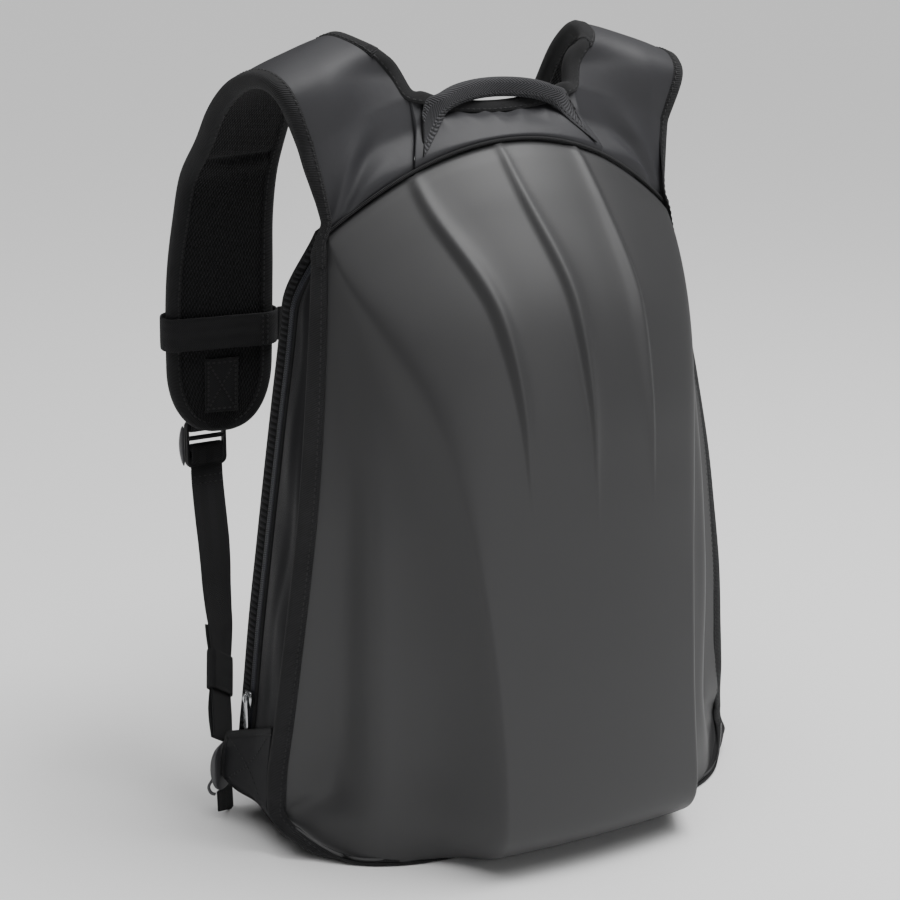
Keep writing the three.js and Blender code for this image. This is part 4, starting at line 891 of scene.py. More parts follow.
class BACKPACK_OT_gusset(bpy.types.Operator):
    """Makes the side gusset, whose coated cloth hangs in soft upright folds."""

    bl_idname = "backpack.gusset"
    bl_label = "Side gusset"

    def execute(self, context):
        look = finishes(context.scene.backpack_colours)
        rim = rear_rim(CORNER_HEIGHT - 7)
        share = np.linspace(0, 1, 34)
        grids = []
        for wall in (0.0, GUSSET_WALL):
            columns = []
            for s in share:
                start = rim["point"] + rim["out"] * 4 - rim["front"] * 3.4
                y = mix(start[:, 1], ZIP_FRONT - 0.3, s)
                clear = start[:, 1] + 14 * rim["out"][:, 1]
                side = np.abs(rim["plane"][:, 0]) ** 2 * smooth(rim["up"], 0.04, 0.2)
                z = rim["point"][:, 2]
                swell = 3.0 * np.sin(np.pi * s)
                fold = 1.5 * np.sin(z / 31 + 3.5 * s) * np.sin(z / 83 + 1.1)
                fold = fold + 0.9 * np.sin(z / 17 - 5 * s + 1.3)
                crease = -1.3 * np.exp(-((s - 0.52 - 0.1 * np.sin(z / 60)) / 0.1) ** 2)
                turn = -1.2 * smooth(s, 0.95, 1)
                bulge = (swell + (fold + crease) * np.sin(np.pi * s)) * side + turn * side
                place = outline(rim, y, bulge - wall)
                front = start.copy()
                front[:, 1] = y
                front = front - rim["plane"] * wall
                columns.append(mix(front, place, smooth(y, clear, clear + 11)[:, None]))
            grids.append(np.stack(columns, 1))
        grids[0][..., 2] = np.maximum(grids[0][..., 2], 0)
        shape = Shape()
        shape.wall(grids[0], grids[1])
        cover = self.cover()
        shape.wall(cover, cover - [0, 0, 1.2])
        # The gusset wears the side cloth, whose dark colour is painted shade.
        piece = shape.make("gusset_cloth", [look["side"]], "coated_fabric", ["side_gusset"])
        return {"FINISHED"}

    def cover(self):
        """The cloth that closes the bag's top, from the shell's seam to the back, with a hem at each end."""
        s = np.linspace(-1, 1, 121)
        seam, inward = seam_points(s * SEAM_HALF_WIDTH)
        front = seam + inward * 2.5 - [0, 0, 2.2]
        rear = back_point(s, 1.0, 6.0) - [0, 0, 1.6]
        t = np.linspace(0, 1, 12)[:, None, None]
        grid = mix(front[None], rear[None], t) + np.array([0, 0, 1.6]) * np.sin(np.pi * t)
        drop = np.array([1.5, 3.5, 6.0, 9.0])[None, :, None]
        left = grid[:, :1] + drop * [0, 0, -1.0] - [1.2, 0, 0]
        right = grid[:, -1:] + drop * [0, 0, -1.0] + [1.2, 0, 0]
        return np.concatenate([left[:, ::-1], grid, right], 1)


class BACKPACK_OT_zipper(bpy.types.Operator):
    """Makes the long zipper: two tapes, a coil of small teeth, and a slider with its pull on each side."""

    bl_idname = "backpack.zipper"
    bl_label = "Zipper"

    def execute(self, context):
        look = finishes(context.scene.backpack_colours)
        rim = rear_rim(CORNER_HEIGHT - 7)
        middle = ZIP_FRONT + ZIP_WIDTH / 2
        side = np.abs(rim["plane"][:, 0]) ** 2 * smooth(rim["up"], 0.06, 0.12)
        section = [(-5.2, -1.4), (-5.2, 0.2), (-3.0, 0.3), (-2.7, 0.6), (2.7, 0.6), (3.0, 0.3), (5.2, 0.2),
                   (5.2, -1.4)]
        rings = [outline(rim, middle + y, out * (side if out > 0 else 1)) for y, out in section]
        shape = Shape()
        shape.tube(np.stack(rings, 1))
        for side_keep in (rim["point"][:, 0] < 0, rim["point"][:, 0] > 0):
            keep = side_keep & (rim["up"] > 0.11)
            chosen = {key: value[keep] for key, value in rim.items()}
            for offset, phase in ((-1.25, 0.0), (1.25, 0.5)):
                path = outline(chosen, middle + offset, 0.85)
                count = int(run_of(path)[-1] / 1.5)
                even, out = resample(path, count * 2, chosen["plane"])
                even, out = even[int(phase * 2)::2], out[int(phase * 2)::2]
                along = along_of(even)
                across = unit(np.cross(out, along))
                points, quads = rod_template(6, 4, [-1.75, -1.2, 1.2, 1.75], [0.3, 0.52, 0.52, 0.3])
                shape.copies(points, quads, even, np.stack([across, along, out], 1), 1)
        shape.make("zipper_run", [look["twill"], look["coil"]], "coil", ["zipper_tape"])
        self.pull(look)
        return {"FINISHED"}

    def pull(self, look):
        """The slider is a rounded block on the coil, and its pull a flat tongue with a round end."""
        place = np.argmin(np.abs(RIM["up"] - 0.165) + (RIM["point"][:, 0] > 0) * 9)
        rim = rim_part(slice(place, place + 1))
        seat = outline(rim, ZIP_FRONT + ZIP_WIDTH / 2, 2.5)[0]
        out = rim["plane"][0]
        block = [(-6, 3.4, 0.9), (-5.6, 4.2, 1.6), (0, 4.4, 1.9), (5.0, 3.0, 1.5), (5.6, 2.2, 0.8)]
        tongue = [(-3, 1.6), (-2.4, 2.3), (2, 2.6), (12, 3.2), (19, 3.4), (21.5, 2.6), (22.4, 1.2)]
        tongue = [(at, wide, 0.7) for at, wide in tongue]
        shape = Shape()
        for rows, lift in ((block, 0.4), (tongue, 3.4)):
            centre = [seat - UP * at + out * lift for at, wide, high in rows]
            sections = [round_section(wide, high, 16) for at, wide, high in rows]
            shape.tube(np.array([c + BACK * s[:, :1] + out * s[:, 1:] for c, s in zip(centre, sections)]))
        rows = [(-4, 1.4), (-3.4, 4.2), (1.5, 4.6), (2.5, 1.4)]
        bridge = curve([seat - UP * at + out * lift for at, lift in rows], 14)
        shape.tube(sweep(bridge, round_section(1.1, 0.5, 8), BACK, np.cross(along_of(bridge), BACK)))
        both(shape, "zip_slider_and_pull", [look["metal"]], "pull_metal", ["zip_slider", "zip_pull"])


def rear_half_width(z):
    """Half the width of the bag's rear at a height."""
    up = np.clip((z - TURN_HEIGHT) / (CORNER_HEIGHT - TURN_HEIGHT), 0, 1)
    lowest = CORNER_HALF_WIDTH + (BASE_HALF_WIDTH - CORNER_HALF_WIDTH) * smooth(z, 0, TURN_HEIGHT)
    half = np.where(z < TURN_HEIGHT, lowest, BASE_HALF_WIDTH * through(SHELL_UP, RIM_SHARE, up))
    return half + GUSSET_OUTSET - TOP_INSET * smooth(up, 0.86, 1)


def back_point(across, up, depth):
    """The back panel at a place across and up, and a distance behind the zipper."""
    place = np.abs(across) * CORNER_HALF_WIDTH
    corner = np.maximum(0, (place - FLAT_HALF_WIDTH) / (CORNER_HALF_WIDTH - FLAT_HALF_WIDTH))
    top = mix(BACK_MIDDLE_TOP, BACK_CORNER_TOP, across**2)
    z = mix(CORNER_LIFT * corner**2, top, up)
    return np.stack([across * rear_half_width(z), ZIP_FRONT + ZIP_WIDTH + 0.6 - back_lean(z) + depth, z], -1)


class BACKPACK_OT_back(bpy.types.Operator):
    """Makes the padded back: mesh over foam, with two long pads and a low one between sewn channels."""

    bl_idname = "backpack.back"
    bl_label = "Back panel"

    def execute(self, context):
        look = finishes(context.scene.backpack_colours)
        bend = lambda count: np.sin(np.linspace(-np.pi / 2, np.pi / 2, count))
        across = bend(190)[None]
        up = ((bend(210) + 1) / 2)[:, None]
        edge = np.minimum(1 - np.abs(across), np.minimum(up, 1 - up) * 1.25)
        full = np.sqrt(np.clip(1 - (1 - np.clip(edge / 0.1, 0, 1)) ** 2, 0, 1))
        channel = np.minimum(np.abs(np.abs(across) - 0.16), np.abs(np.abs(across) - 0.84)) * 172
        channel = np.where((up < 0.2) | (up > 0.93), 60, channel)
        level = np.minimum(np.abs(up - 0.2), np.abs(up - 0.93)) * 440
        level = np.where(np.abs(across) > 0.84, 60, level)
        seam = np.minimum(channel, level)
        depth = mix(9.0, 22.0, full) - 5.0 * np.exp(-((seam / 5.0) ** 2)) * full
        outer = back_point(across + up * 0, up + across * 0, depth)
        inner = back_point(across + up * 0, up + across * 0, depth * 0)
        shape = Shape()
        shape.wall(outer, inner)
        piece = shape.make("padded_back", [look["mesh"]], "air_mesh", ["back_panel"])
        return {"FINISHED"}


# Yoke and straps

def seam_points(x):
    """The shell's top seam, lifted a little off the edge, with the way into the bag there."""
    columns = np.linspace(-2, 2, 801)
    top = shell_point(columns, 1.0)
    below = shell_point(columns, 0.985)
    lift = unit(top - below)
    inward = unit(np.cross(np.gradient(top, axis=0), lift))
    inward = inward * np.where(inward[:, 1:2] < 0, -1, 1)
    read = lambda a: np.stack([np.interp(x, top[:, 0], a[:, k]) for k in range(3)], 1)
    return read(top) + read(lift) * 0.45, unit(read(inward))


def neck_points(x):
    """The yoke's upper edge, dipping in the middle."""
    share = (x / YOKE_HALF_WIDTH) ** 2
    height = NECK_HEIGHT + NECK_LIFT + (NECK_SIDE_RISE - NECK_LIFT) * share
    return np.stack([x, NECK_BACK * (1 - share), height], 1)


def settled(points):
    """Points round the neck moved back, and in at its two corners, as the sewn cloth settles under load."""
    x, y, z = np.abs(points[..., 0]), points[..., 1], points[..., 2]
    seam = CORNER_HEIGHT + ARCH_RISE * (1 - (x / (BASE_HALF_WIDTH * RIM_SHARE[-1])) ** 2)
    amount = smooth(z - seam, 0, 26) * (1 - smooth(z, 500, 524)) * (1 - smooth(y, 25, 60))
    back = SETTLE_BACK * amount * (1 - smooth(x, 84, 124))
    inward = SETTLE_IN * amount * np.exp(-(((x - YOKE_HALF_WIDTH) / 22) ** 2))
    return points + np.stack([-np.sign(points[..., 0]) * inward, back, 0 * z], -1)


# Folds of the yoke under its neck tape: place across, lean, width, height and the share where they begin.
YOKE_FOLDS = [(-49, 9, 4.0, 0.9, 0.3), (-31, 14, 5.0, 1.2, 0.35), (-11, 8, 4.5, 1.7, 0.2),
              (2, -10, 3.5, 1.1, 0.5), (19, -16, 6.0, 1.5, 0.25), (38, -9, 4.0, 0.9, 0.4),
              (54, -6, 4.5, 1.1, 0.35)]


class BACKPACK_OT_yoke(bpy.types.Operator):
    """Makes the fabric yoke over the shell's top seam, with its taped neck edge and a dark cord in the seam
    that is painted shade for the seam's shadow.
    """

    bl_idname = "backpack.yoke"
    bl_label = "Top yoke"

    def execute(self, context):
        look = finishes(context.scene.backpack_colours)
        x = np.linspace(-YOKE_HALF_WIDTH - 0.2, YOKE_HALF_WIDTH + 0.2, 120)
        start, inward = seam_points(x)
        end = neck_points(x)
        share = np.linspace(0, 1, 40)[:, None, None]
        outer = settled(mix(start[None], end[None], share))
        normal = normals_of(outer)
        toward = unit(mix(inward[None], normal * np.sign(normal[..., 1:2]), smooth(share, 0, 0.4)))
        puff = 2.0 * np.sin(np.pi * share) ** 0.8 * (1 - smooth(share, 0.6, 0.9))
        puff = puff - 2.6 * (1 - smooth(share, 0, 0.12))
        up = share[..., 0]
        wrinkle = sum(rise * np.exp(-(((x - place - lean * (1 - up)) / wide) ** 2)) * smooth(up, low, 0.75)
                      for place, lean, wide, rise, low in YOKE_FOLDS) * (1 - smooth(up, 0.84, 1))
        wrinkle = wrinkle + 0.8 * np.sin(x / 15 + 5 * up) * np.sin(np.pi * up) ** 2
        outer_skin = outer - toward * (puff + wrinkle[..., None])
        inner = outer + toward * 8.0
        shape = Shape()
        shape.wall(outer_skin, inner)
        piece = shape.make("yoke_cloth", [look["coated"]], "coated_fabric", ["top_yoke"])
        self.shadow_cord(look)
        along = along_of(outer[-1])
        across = unit(mix(toward[-1], np.array([0, 1.0, -0.4]), 0.75))
        out = np.cross(across, along)
        out = unit(out * np.where(out[:, 2:] < 0, -1, 1))
        path = outer[-1] + out * 1.6
        side = STRAP["neck"]
        path = np.concatenate([side["path"], path[6:-6], mirrored(side["path"][::-1])])
        out = np.concatenate([side["out"], out[6:-6], mirrored(side["out"][::-1])])
        across = np.concatenate([side["across"], across[6:-6], mirrored(side["across"][::-1])])
        path, out, across = resample(path, 300, out, across)
        path = soften(path, 50)
        out, across = unit(soften(out, 40)), unit(soften(across, 40))
        thick = mix(0.78, 1, smooth(np.abs(path[:, 0]), 52, 76))
        binding = Shape()
        binding.tube(band(path, out, across, edge_section(STRAP["thick"] / 2 + 0.8), 1.04, thick * 1.03))
        for face in (-1, 1):
            row = path - out * 4.3 + across * (face * thick * (STRAP["thick"] / 2 + 0.25))[:, None]
            stitch_row(binding, row, across * face, 3.0, kind=1)
        binding.make("neck_edge_tape", [look["twill"], look["thread"]], "tape", ["neck_binding"])
        return {"FINISHED"}

    def shadow_cord(self, look):
        """A thin dark cord along the whole top seam, between the shell and the cloth sewn over it: painted
        shade that stands in for the shadow in the gap there.
        """
        seam, inward = seam_points(np.linspace(-1, 1, 400) * (SEAM_HALF_WIDTH - 0.5))
        lift = unit(np.cross(inward, along_of(seam)))
        shape = Shape()
        shape.tube(sweep(seam + inward * 0.6, round_section(1.2, 1.2, 12, 1.0), inward, lift))
        shape.make("seam_shadow_cord", [look["tape"]], "tape")


def strap_edges(count):
    """The inner and outer edge of the left strap from the yoke over the shoulder to the pad's end."""
    rows = np.array(STRAP_ROWS) * ([-STRAP_SPREAD, STRAP_REACH, STRAP_TOP] * 2)
    return curve(rows[:, 3:], count), curve(rows[:, :3], count)


def strap_surface(rows, columns):
    """The left strap's coated face: rows from the seam to the rounded tip, columns from the inner edge."""
    inner, outer = strap_edges(rows)
    inner[0, 0] = -YOKE_HALF_WIDTH - 0.6
    across = np.linspace(0, 1, columns)[None, :, None]
    body = mix(inner[:, None], outer[:, None], across)
    seam_x = mix(-YOKE_HALF_WIDTH - 0.6, -BASE_HALF_WIDTH * RIM_SHARE[-1] + 0.6, np.linspace(0, 1, columns))
    seam, inward = seam_points(seam_x)
    root_share = np.linspace(0, 1, rows // 6 + 1)[:-1, None, None]
    root = mix(seam[None], body[:1], root_share)
    last = body[-1]
    drop = (last[0, 2] + last[-1, 2]) / 2 - STRAP_TIP_HEIGHT
    angle = np.linspace(0, np.pi / 2, rows // 5)[1:]
    down = np.sin(angle)[:, None, None]
    width = np.maximum(np.cos(angle), 0.12)[:, None, None] ** 0.75
    tip = mix(last[:1, None], last[-1:, None], 0.5 + (across - 0.5) * width)
    tip = tip + np.array([0, 1 / 12, -1]) * down * drop
    return settled(np.concatenate([root, body, tip])), len(root), inward


STRAP = {}


def edge_section(half):
    """The section of tape folded over a pad's edge: outward from the edge, and across the pad."""
    return [(-6.2, half - 1.7), (-5.8, half - 1.0), (-3, half - 0.5), (0.5, half - 0.8), (2.6, half * 0.62),
            (3.4, half * 0.2), (3.4, -half * 0.2), (2.6, -half * 0.62), (0.5, -half + 0.8),
            (-3, -half + 0.5), (-5.8, -half + 1.0), (-6.2, -half + 1.7), (-3, -half + 2.6), (-3, half - 2.6)]


# Folds round the strap's outer corner: angle in degrees, width in degrees and height.
CORNER_FOLDS = [(27, 4.5, 1.2), (36, 3.8, -1.5), (45, 4.4, 2.1), (55, 3.6, -1.6), (64, 4.6, 1.4),
                (77, 6.0, -0.8)]


def corner_folds(points):
    """Folds that fan out from the strap's outer corner: for each a bell curve over the angle round it."""
    across, height = np.abs(points[..., 0]) - 131, points[..., 2] - 402
    angle = np.degrees(np.arctan2(height, -across))
    reach = np.hypot(across, height)
    fade = smooth(reach, 4, 26) * (1 - smooth(reach, 52, 92))
    angle = angle - 3 * np.sin(reach / 23)
    return fade * sum(rise * np.exp(-(((angle - at) / wide) ** 2)) for at, wide, rise in CORNER_FOLDS)


class BACKPACK_OT_straps(bpy.types.Operator):
    """Makes both shoulder straps: coated cloth over foam, mesh underneath and taped edges."""

    bl_idname = "backpack.straps"
    bl_label = "Shoulder straps"

    def execute(self, context):
        look = finishes(context.scene.backpack_colours)
        sizes = context.scene.backpack_sizes
        thick = sizes.strap_thickness / MM
        grid, start, inward = strap_surface(150, 44)
        rows, columns = grid.shape[:2]
        normal = normals_of(grid)
        settle = smooth(np.arange(rows), 0, 22)[:, None, None]
        turned = np.sign(np.sum(normal[rows // 2] * [0, 1, 0]))
        toward = unit(mix(inward[None], soften(-normal * turned, 6), settle))
        middle = grid + toward * thick / 2
        place = np.linspace(0, 1, columns)
        crown = (1 - np.abs(2 * place - 1) ** 3.2)[None, :, None]
        end = 1 - smooth(np.arange(rows), rows - 8, rows)[:, None, None]
        half = thick * (0.36 + 0.2 * crown * mix(0.6, 1, end))
        early = 1 - smooth(np.arange(rows), start + 14, start + 34)[:, None]
        inside = np.sin(np.pi * np.linspace(0.0, 1, columns))[None] ** 0.5
        fold = corner_folds(grid) * early * inside
        wave = 0.12 * np.sin(grid[..., 0] / 9 + grid[..., 1] / 14) * np.sin(grid[..., 2] / 11) * inside
        seat = 2.4 * (1 - smooth(np.arange(rows), 0, 3))[:, None]
        coated = middle - toward * (half + (fold + wave - seat)[..., None])
        falling = np.arange(rows) > np.argmax(middle[:, columns // 2, 2])
        from_crease = middle[..., 2] - STRAP_CREASE_HEIGHT
        bend = np.exp(-((from_crease / 2.6) ** 2)) * falling[:, None]
        swell = 0.9 * np.exp(-(((np.abs(from_crease) - 8) / 5) ** 2)) * falling[:, None]
        mesh = middle + toward * (half + ((swell - 2.6 * bend) * inside)[..., None])
        edge_out = unit(middle[:, 0] - middle[:, 1])
        part = slice(start, start + 19)
        STRAP.update(grid=grid, toward=toward, thick=thick, neck={
            "path": middle[part, 0][::-1], "out": edge_out[part][::-1], "across": toward[part, 0][::-1]})
        for name, turn in (("left", 1), ("right", -1)):
            flip = (lambda a: a) if turn > 0 else mirrored
            shape = Shape()
            self.pad(shape, flip(coated), flip(mesh), rows * columns)
            piece = shape.make(f"shoulder_pad_{name}", [look["coated"], look["mesh"]], "coated_fabric",
                               [f"strap_pad_{name}"])
            self.tape(name, flip, middle, toward, start, thick, look, sizes)
        return {"FINISHED"}

    def pad(self, shape, coated, mesh, size):
        """A closed pad whose two faces have their own finish."""
        shape.wall(coated, mesh)
        rows, columns = coated.shape[:2]
        quads = (rows - 1) * (columns - 1)
        shape.kinds = [0] * quads + [1] * quads + [1] * (len(shape.faces) - 2 * quads)

    def tape(self, name, flip, middle, toward, start, thick, look, sizes):
        """Tape folded over the pad's edge all round, with a row of stitches on each face."""
        last = middle.shape[0] - 1
        corner = (RIM["point"][:, 0] < 0) & (RIM["up"] > 0.945) & (RIM["up"] < 0.99)
        first = (RIM["point"] + RIM["out"] * 4.2 - RIM["front"] * 0.4)[corner][::-1]
        path = np.concatenate([first, middle[3:, -1], middle[last, -2:0:-1], middle[last:start + 14:-1, 0]])
        across = np.concatenate([-RIM["front"][corner][::-1], toward[3:, -1], toward[last, -2:0:-1],
                                 toward[last:start + 14:-1, 0]])
        path, across = resample(path, 640, across)
        path, across = soften(path, 6), soften(across, 6)
        slim = mix(0.62, 1, smooth(run_of(path), 8, 34))
        across = unit(across)
        along = along_of(path)
        outward = unit(-np.cross(across, along))
        half = thick / 2 + 0.8
        shape = Shape()
        shape.tube(band(flip(path), flip(outward), flip(across), edge_section(half), 1.0, slim))
        for face in (-1, 1):
            row = path - outward * 4.3 + across * (face * slim * (half - 0.55))[:, None]
            stitch_row(shape, flip(row), flip(across * face), sizes.stitch_length / MM, kind=1)
        nodes = [f"strap_binding_{name}"]
        shape.make(f"strap_edge_tape_{name}", [look["tape"], look["thread"]], "tape", nodes)


# The grab handle

# The handle from its right end to its middle: shares of its reach across, its rise and its lean.
HANDLE_ROWS = [(1.0, 0.0, 0.0), (0.88, 0.36, 0.0), (0.68, 0.7, -0.3), (0.38, 0.93, -0.05), (0.0, 1.0, 0.3)]


def yoke_face(x, z):
    """How far back the yoke's face lies at a place across and up."""
    seam = seam_points(x)[0]
    neck = neck_points(x)
    return mix(seam[..., 1], neck[..., 1], np.clip((z - seam[..., 2]) / (neck[..., 2] - seam[..., 2]), 0, 1))


def yoke_normal(x, z, free):
    """The way into the bag square to the yoke's face, turned to +Y where the handle is free of it."""
    slope_x = (yoke_face(x + 1, z) - yoke_face(x - 1, z)) / 2
    slope_z = (yoke_face(x, z + 1) - yoke_face(x, z - 1)) / 2
    return unit(np.stack([-slope_x * (1 - free), np.ones_like(x), -slope_z * (1 - free)], 1))


class BACKPACK_OT_handle(bpy.types.Operator):
    """Makes the grab handle: twill webbing folded to a grip, its flat ends sewn along the yoke's seams."""

    bl_idname = "backpack.handle"
    bl_label = "Grab handle"

    def execute(self, context):
        look = finishes(context.scene.backpack_colours)
        rows = np.array(HANDLE_ROWS)
        rows = np.concatenate([rows * [-1, 1, 1], rows[-2::-1]])
        x = rows[:, 0] * HANDLE_END_X
        z = mix(HANDLE_END_HEIGHT, HANDLE_TOP - HANDLE_SAG, rows[:, 1])
        folded = lambda x: 1 - smooth(np.abs(x) / HANDLE_END_X, 0.6, 1)
        thick = lambda x: mix(HANDLE_END_THICK, HANDLE_GRIP_THICK, folded(x)) / 2
        place = np.stack([x, yoke_face(x, z) + rows[:, 2] * HANDLE_LEAN, z], 1)
        place = place - yoke_normal(x, z, folded(x)) * (thick(x) + 1.2)[:, None]
        path = curve(place, 150)
        along = along_of(path)
        free = folded(path[:, 0])
        normal = yoke_normal(path[:, 0], path[:, 2], free)
        upward = unit(np.cross(normal, along))
        up = mix(UP, upward * np.sign(upward[:, 2:]), free[:, None])
        up = unit(up - normal * np.sum(up * normal, 1, keepdims=True))
        back = unit(normal - along * (free * np.sum(normal * along, 1))[:, None])
        tall = mix(HANDLE_END_WIDTH, HANDLE_GRIP_HEIGHT, free) / 2
        angle = ring_angles(36)
        cleft = 1 - 0.28 * np.exp(-(((angle - np.pi) / 0.16) ** 2)) * free[:, None]
        lip = 1 + 0.1 * np.exp(-(((np.abs(angle - np.pi) - 0.42) / 0.16) ** 2)) * free[:, None]
        high = tall[:, None] * squared(np.cos(angle), 0.62) * cleft
        deep = thick(path[:, 0])[:, None] * squared(np.sin(angle), 0.62) * lip
        rings = path[:, None] + up[:, None] * high[..., None] + back[:, None] * deep[..., None]
        shape = Shape()
        shape.tube(settled(rings))
        for level in (-0.62, 0.74):
            row = settled(path + up * (tall * level)[:, None] - back * (thick(path[:, 0]) * 0.96)[:, None])
            away = np.abs(path[:, 0])
            keep = away < HANDLE_END_X - 2 if level < 0 else away > HANDLE_END_X * 0.86
            for half in (-1, 1):
                chosen = keep & (path[:, 0] * half > 0)
                stitch_row(shape, row[chosen], -back[chosen], 2.6, kind=1)
        shape.make("folded_grab_handle", [look["grip"], look["thread"]], "webbing", ["grab_handle"])
        return {"FINISHED"}


# Webbing and buckles

def strip_rings(path, widths, width, thick, sides=20, slant=0.0):
    """Rings of a webbing strip with round edges; a slant shifts the last end along by its place across."""
    along = along_of(path)
    side = unit(widths - along * np.sum(widths * along, 1, keepdims=True))
    up = np.cross(side, along)
    section = round_section(width / 2, thick / 2, sides, 0.34)
    rings = sweep(path, section, side, up)
    near = smooth(run_of(path), run_of(path)[-1] - width, run_of(path)[-1])
    return rings + along[:, None] * (section[None, :, :1] * slant * near[:, None, None])


def strap_frame(height):
    """The hanging strap's middle at a height, with its directions along, across and to the pack."""
    grid, toward = STRAP["grid"], STRAP["toward"]
    middle = (grid[:, 0] + grid[:, -1]) / 2
    start = int(np.argmax(middle[:, 2]))
    at = start + np.interp(-height, -middle[start:, 2], np.arange(len(middle) - start))
    low = min(int(at), len(middle) - 2)
    read = lambda a: mix(a[low], a[low + 1], at - low)
    width = read(grid[:, -1]) - read(grid[:, 0])
    pack = unit(read(toward.mean(axis=1)))
    return {"middle": read(middle) + pack * STRAP["thick"] / 2, "width": unit(width), "pack": pack,
            "length": unit(middle[low + 1] - middle[low]), "reach": np.linalg.norm(width)}


def both(shape, name, finish_list, slot, nodes):
    """Makes a piece on the left and its mirror image on the right."""
    shape.make(f"{name}_left", finish_list, slot, [f"{node}_left" for node in nodes])
    other = Shape()
    other.points = [mirrored(points) for points in shape.points]
    other.faces = [face[::-1] for face in shape.faces]
    other.coords = [flip_corners(shape)]
    other.kinds, other.count = shape.kinds, shape.count
    other.make(f"{name}_right", finish_list, slot, [f"{node}_right" for node in nodes])


def tucked(points):
    """The soft side on the right lies further in than the left one, by TUCK at its middle height."""
    points = np.array(points, float)
    x, y, z = points[..., 0], points[..., 1], points[..., 2]
    height = smooth(z, -10, 60) * (1 - smooth(z, 260, 400))
    points[..., 0] = x - TUCK * smooth(x, 110, 165) * height * (1 - smooth(y, 62, 100))
    return points


def flip_corners(shape):
    """The cloth places of a shape's corners, in the order of its faces turned over."""
    flat = np.concatenate(shape.coords)
    sizes = np.array([len(face) for face in shape.faces])
    start = np.concatenate([[0], np.cumsum(sizes)[:-1]])
    place = np.arange(len(flat)) - np.repeat(start, sizes)
    return flat[np.repeat(start + sizes - 1, sizes) - place]


class BACKPACK_OT_tab(bpy.types.Operator):
    """Makes the webbing tab sewn behind each strap's end and its stitched patch on the mesh side."""

    bl_idname = "backpack.tab"
    bl_label = "Strap tabs"

    def execute(self, context):
        look = finishes(context.scene.backpack_colours)
        width = context.scene.backpack_sizes.webbing_width / MM
        top = STRAP_TIP_HEIGHT + TAB_RISE
        frames = [strap_frame(height) for height in (top, top - 15, top - 27)]
        outs = (8.0, 8.0, 8.6)
        points = [f["middle"] - f["pack"] * out for f, out in zip(frames, outs)]
        lock = np.array(LOCK_CENTRE)
        points += [lock + [0, 1.2, 19.5], lock + [0, 3.6, 15], lock + [0, 3.3, 11.4], lock + [0, 0.4, 9.0],
                   lock + [0, -3.4, 12], lock + [0, -3.6, 16.5], lock + [0, -2.4, 23]]
        path = curve(points, 110)
        widths = np.repeat(frames[0]["width"][None], 110, 0)
        level = smooth(path[:, 2], lock[2] + 12, top - 27)[:, None]
        widths = unit(mix(np.array([-1.0, 0, 0]), widths * np.sign(-widths[:, :1]), level))
        tab = Shape()
        tab.tube(strip_rings(path, widths, width, 1.7))
        both(tab, "strap_tab_webbing", [look["webbing"]], "webbing", ["strap_tab"])
        patch = Shape()
        heights = np.linspace(PATCH_TOP, PATCH_TOP - PATCH_LENGTH, 30)
        frames = [strap_frame(height) for height in heights]
        path = np.array([f["middle"] + f["pack"] * 6.9 for f in frames])
        widths = np.array([f["width"] for f in frames])
        pack = np.array([f["pack"] for f in frames])
        patch.tube(strip_rings(path, widths, width, 1.6))
        share = np.linspace(-1, 1, 30)
        edge = share * 0 + 1
        lines = [(edge, share), (-edge, share), (share, edge), (share, -edge), (share, share),
                 (share, -share)]
        for across, down in lines:
            at = (down * 0.86 + 1) / 2 * 29
            read = lambda a: np.stack([np.interp(at, np.arange(30), a[:, k]) for k in range(3)], 1)
            row = read(path) + read(widths) * (across * (width / 2 - 2.2))[:, None] + read(pack) * 0.95
            stitch_row(patch, row, read(pack), 2.4, 0.6, 0.5, kind=1)
        both(patch, "strap_patch_webbing", [look["webbing"], look["thread"]], "webbing", ["strap_patch"])
        return {"FINISHED"}


def rounded_loop(half_wide, half_tall, corner, count):
    """Points evenly round a rectangle with round corners, from its right middle, and the way out at each."""
    angle = np.linspace(0, np.pi / 2, 9)
    arc = np.stack([np.cos(angle), np.sin(angle)], 1) * corner
    middle = np.array([half_wide - corner, half_tall - corner])
    turns = [(arc, (1, 1)), (arc[::-1], (-1, 1)), (arc, (-1, -1)), (arc[::-1], (1, -1))]
    points = np.concatenate([(part + middle) * signs for part, signs in turns])
    loop = resample(np.concatenate([points, points[:1]]), count + 1)[:-1]
    way = np.roll(loop, -1, axis=0) - np.roll(loop, 1, axis=0)
    return loop, unit(np.stack([way[:, 1], -way[:, 0]], 1))


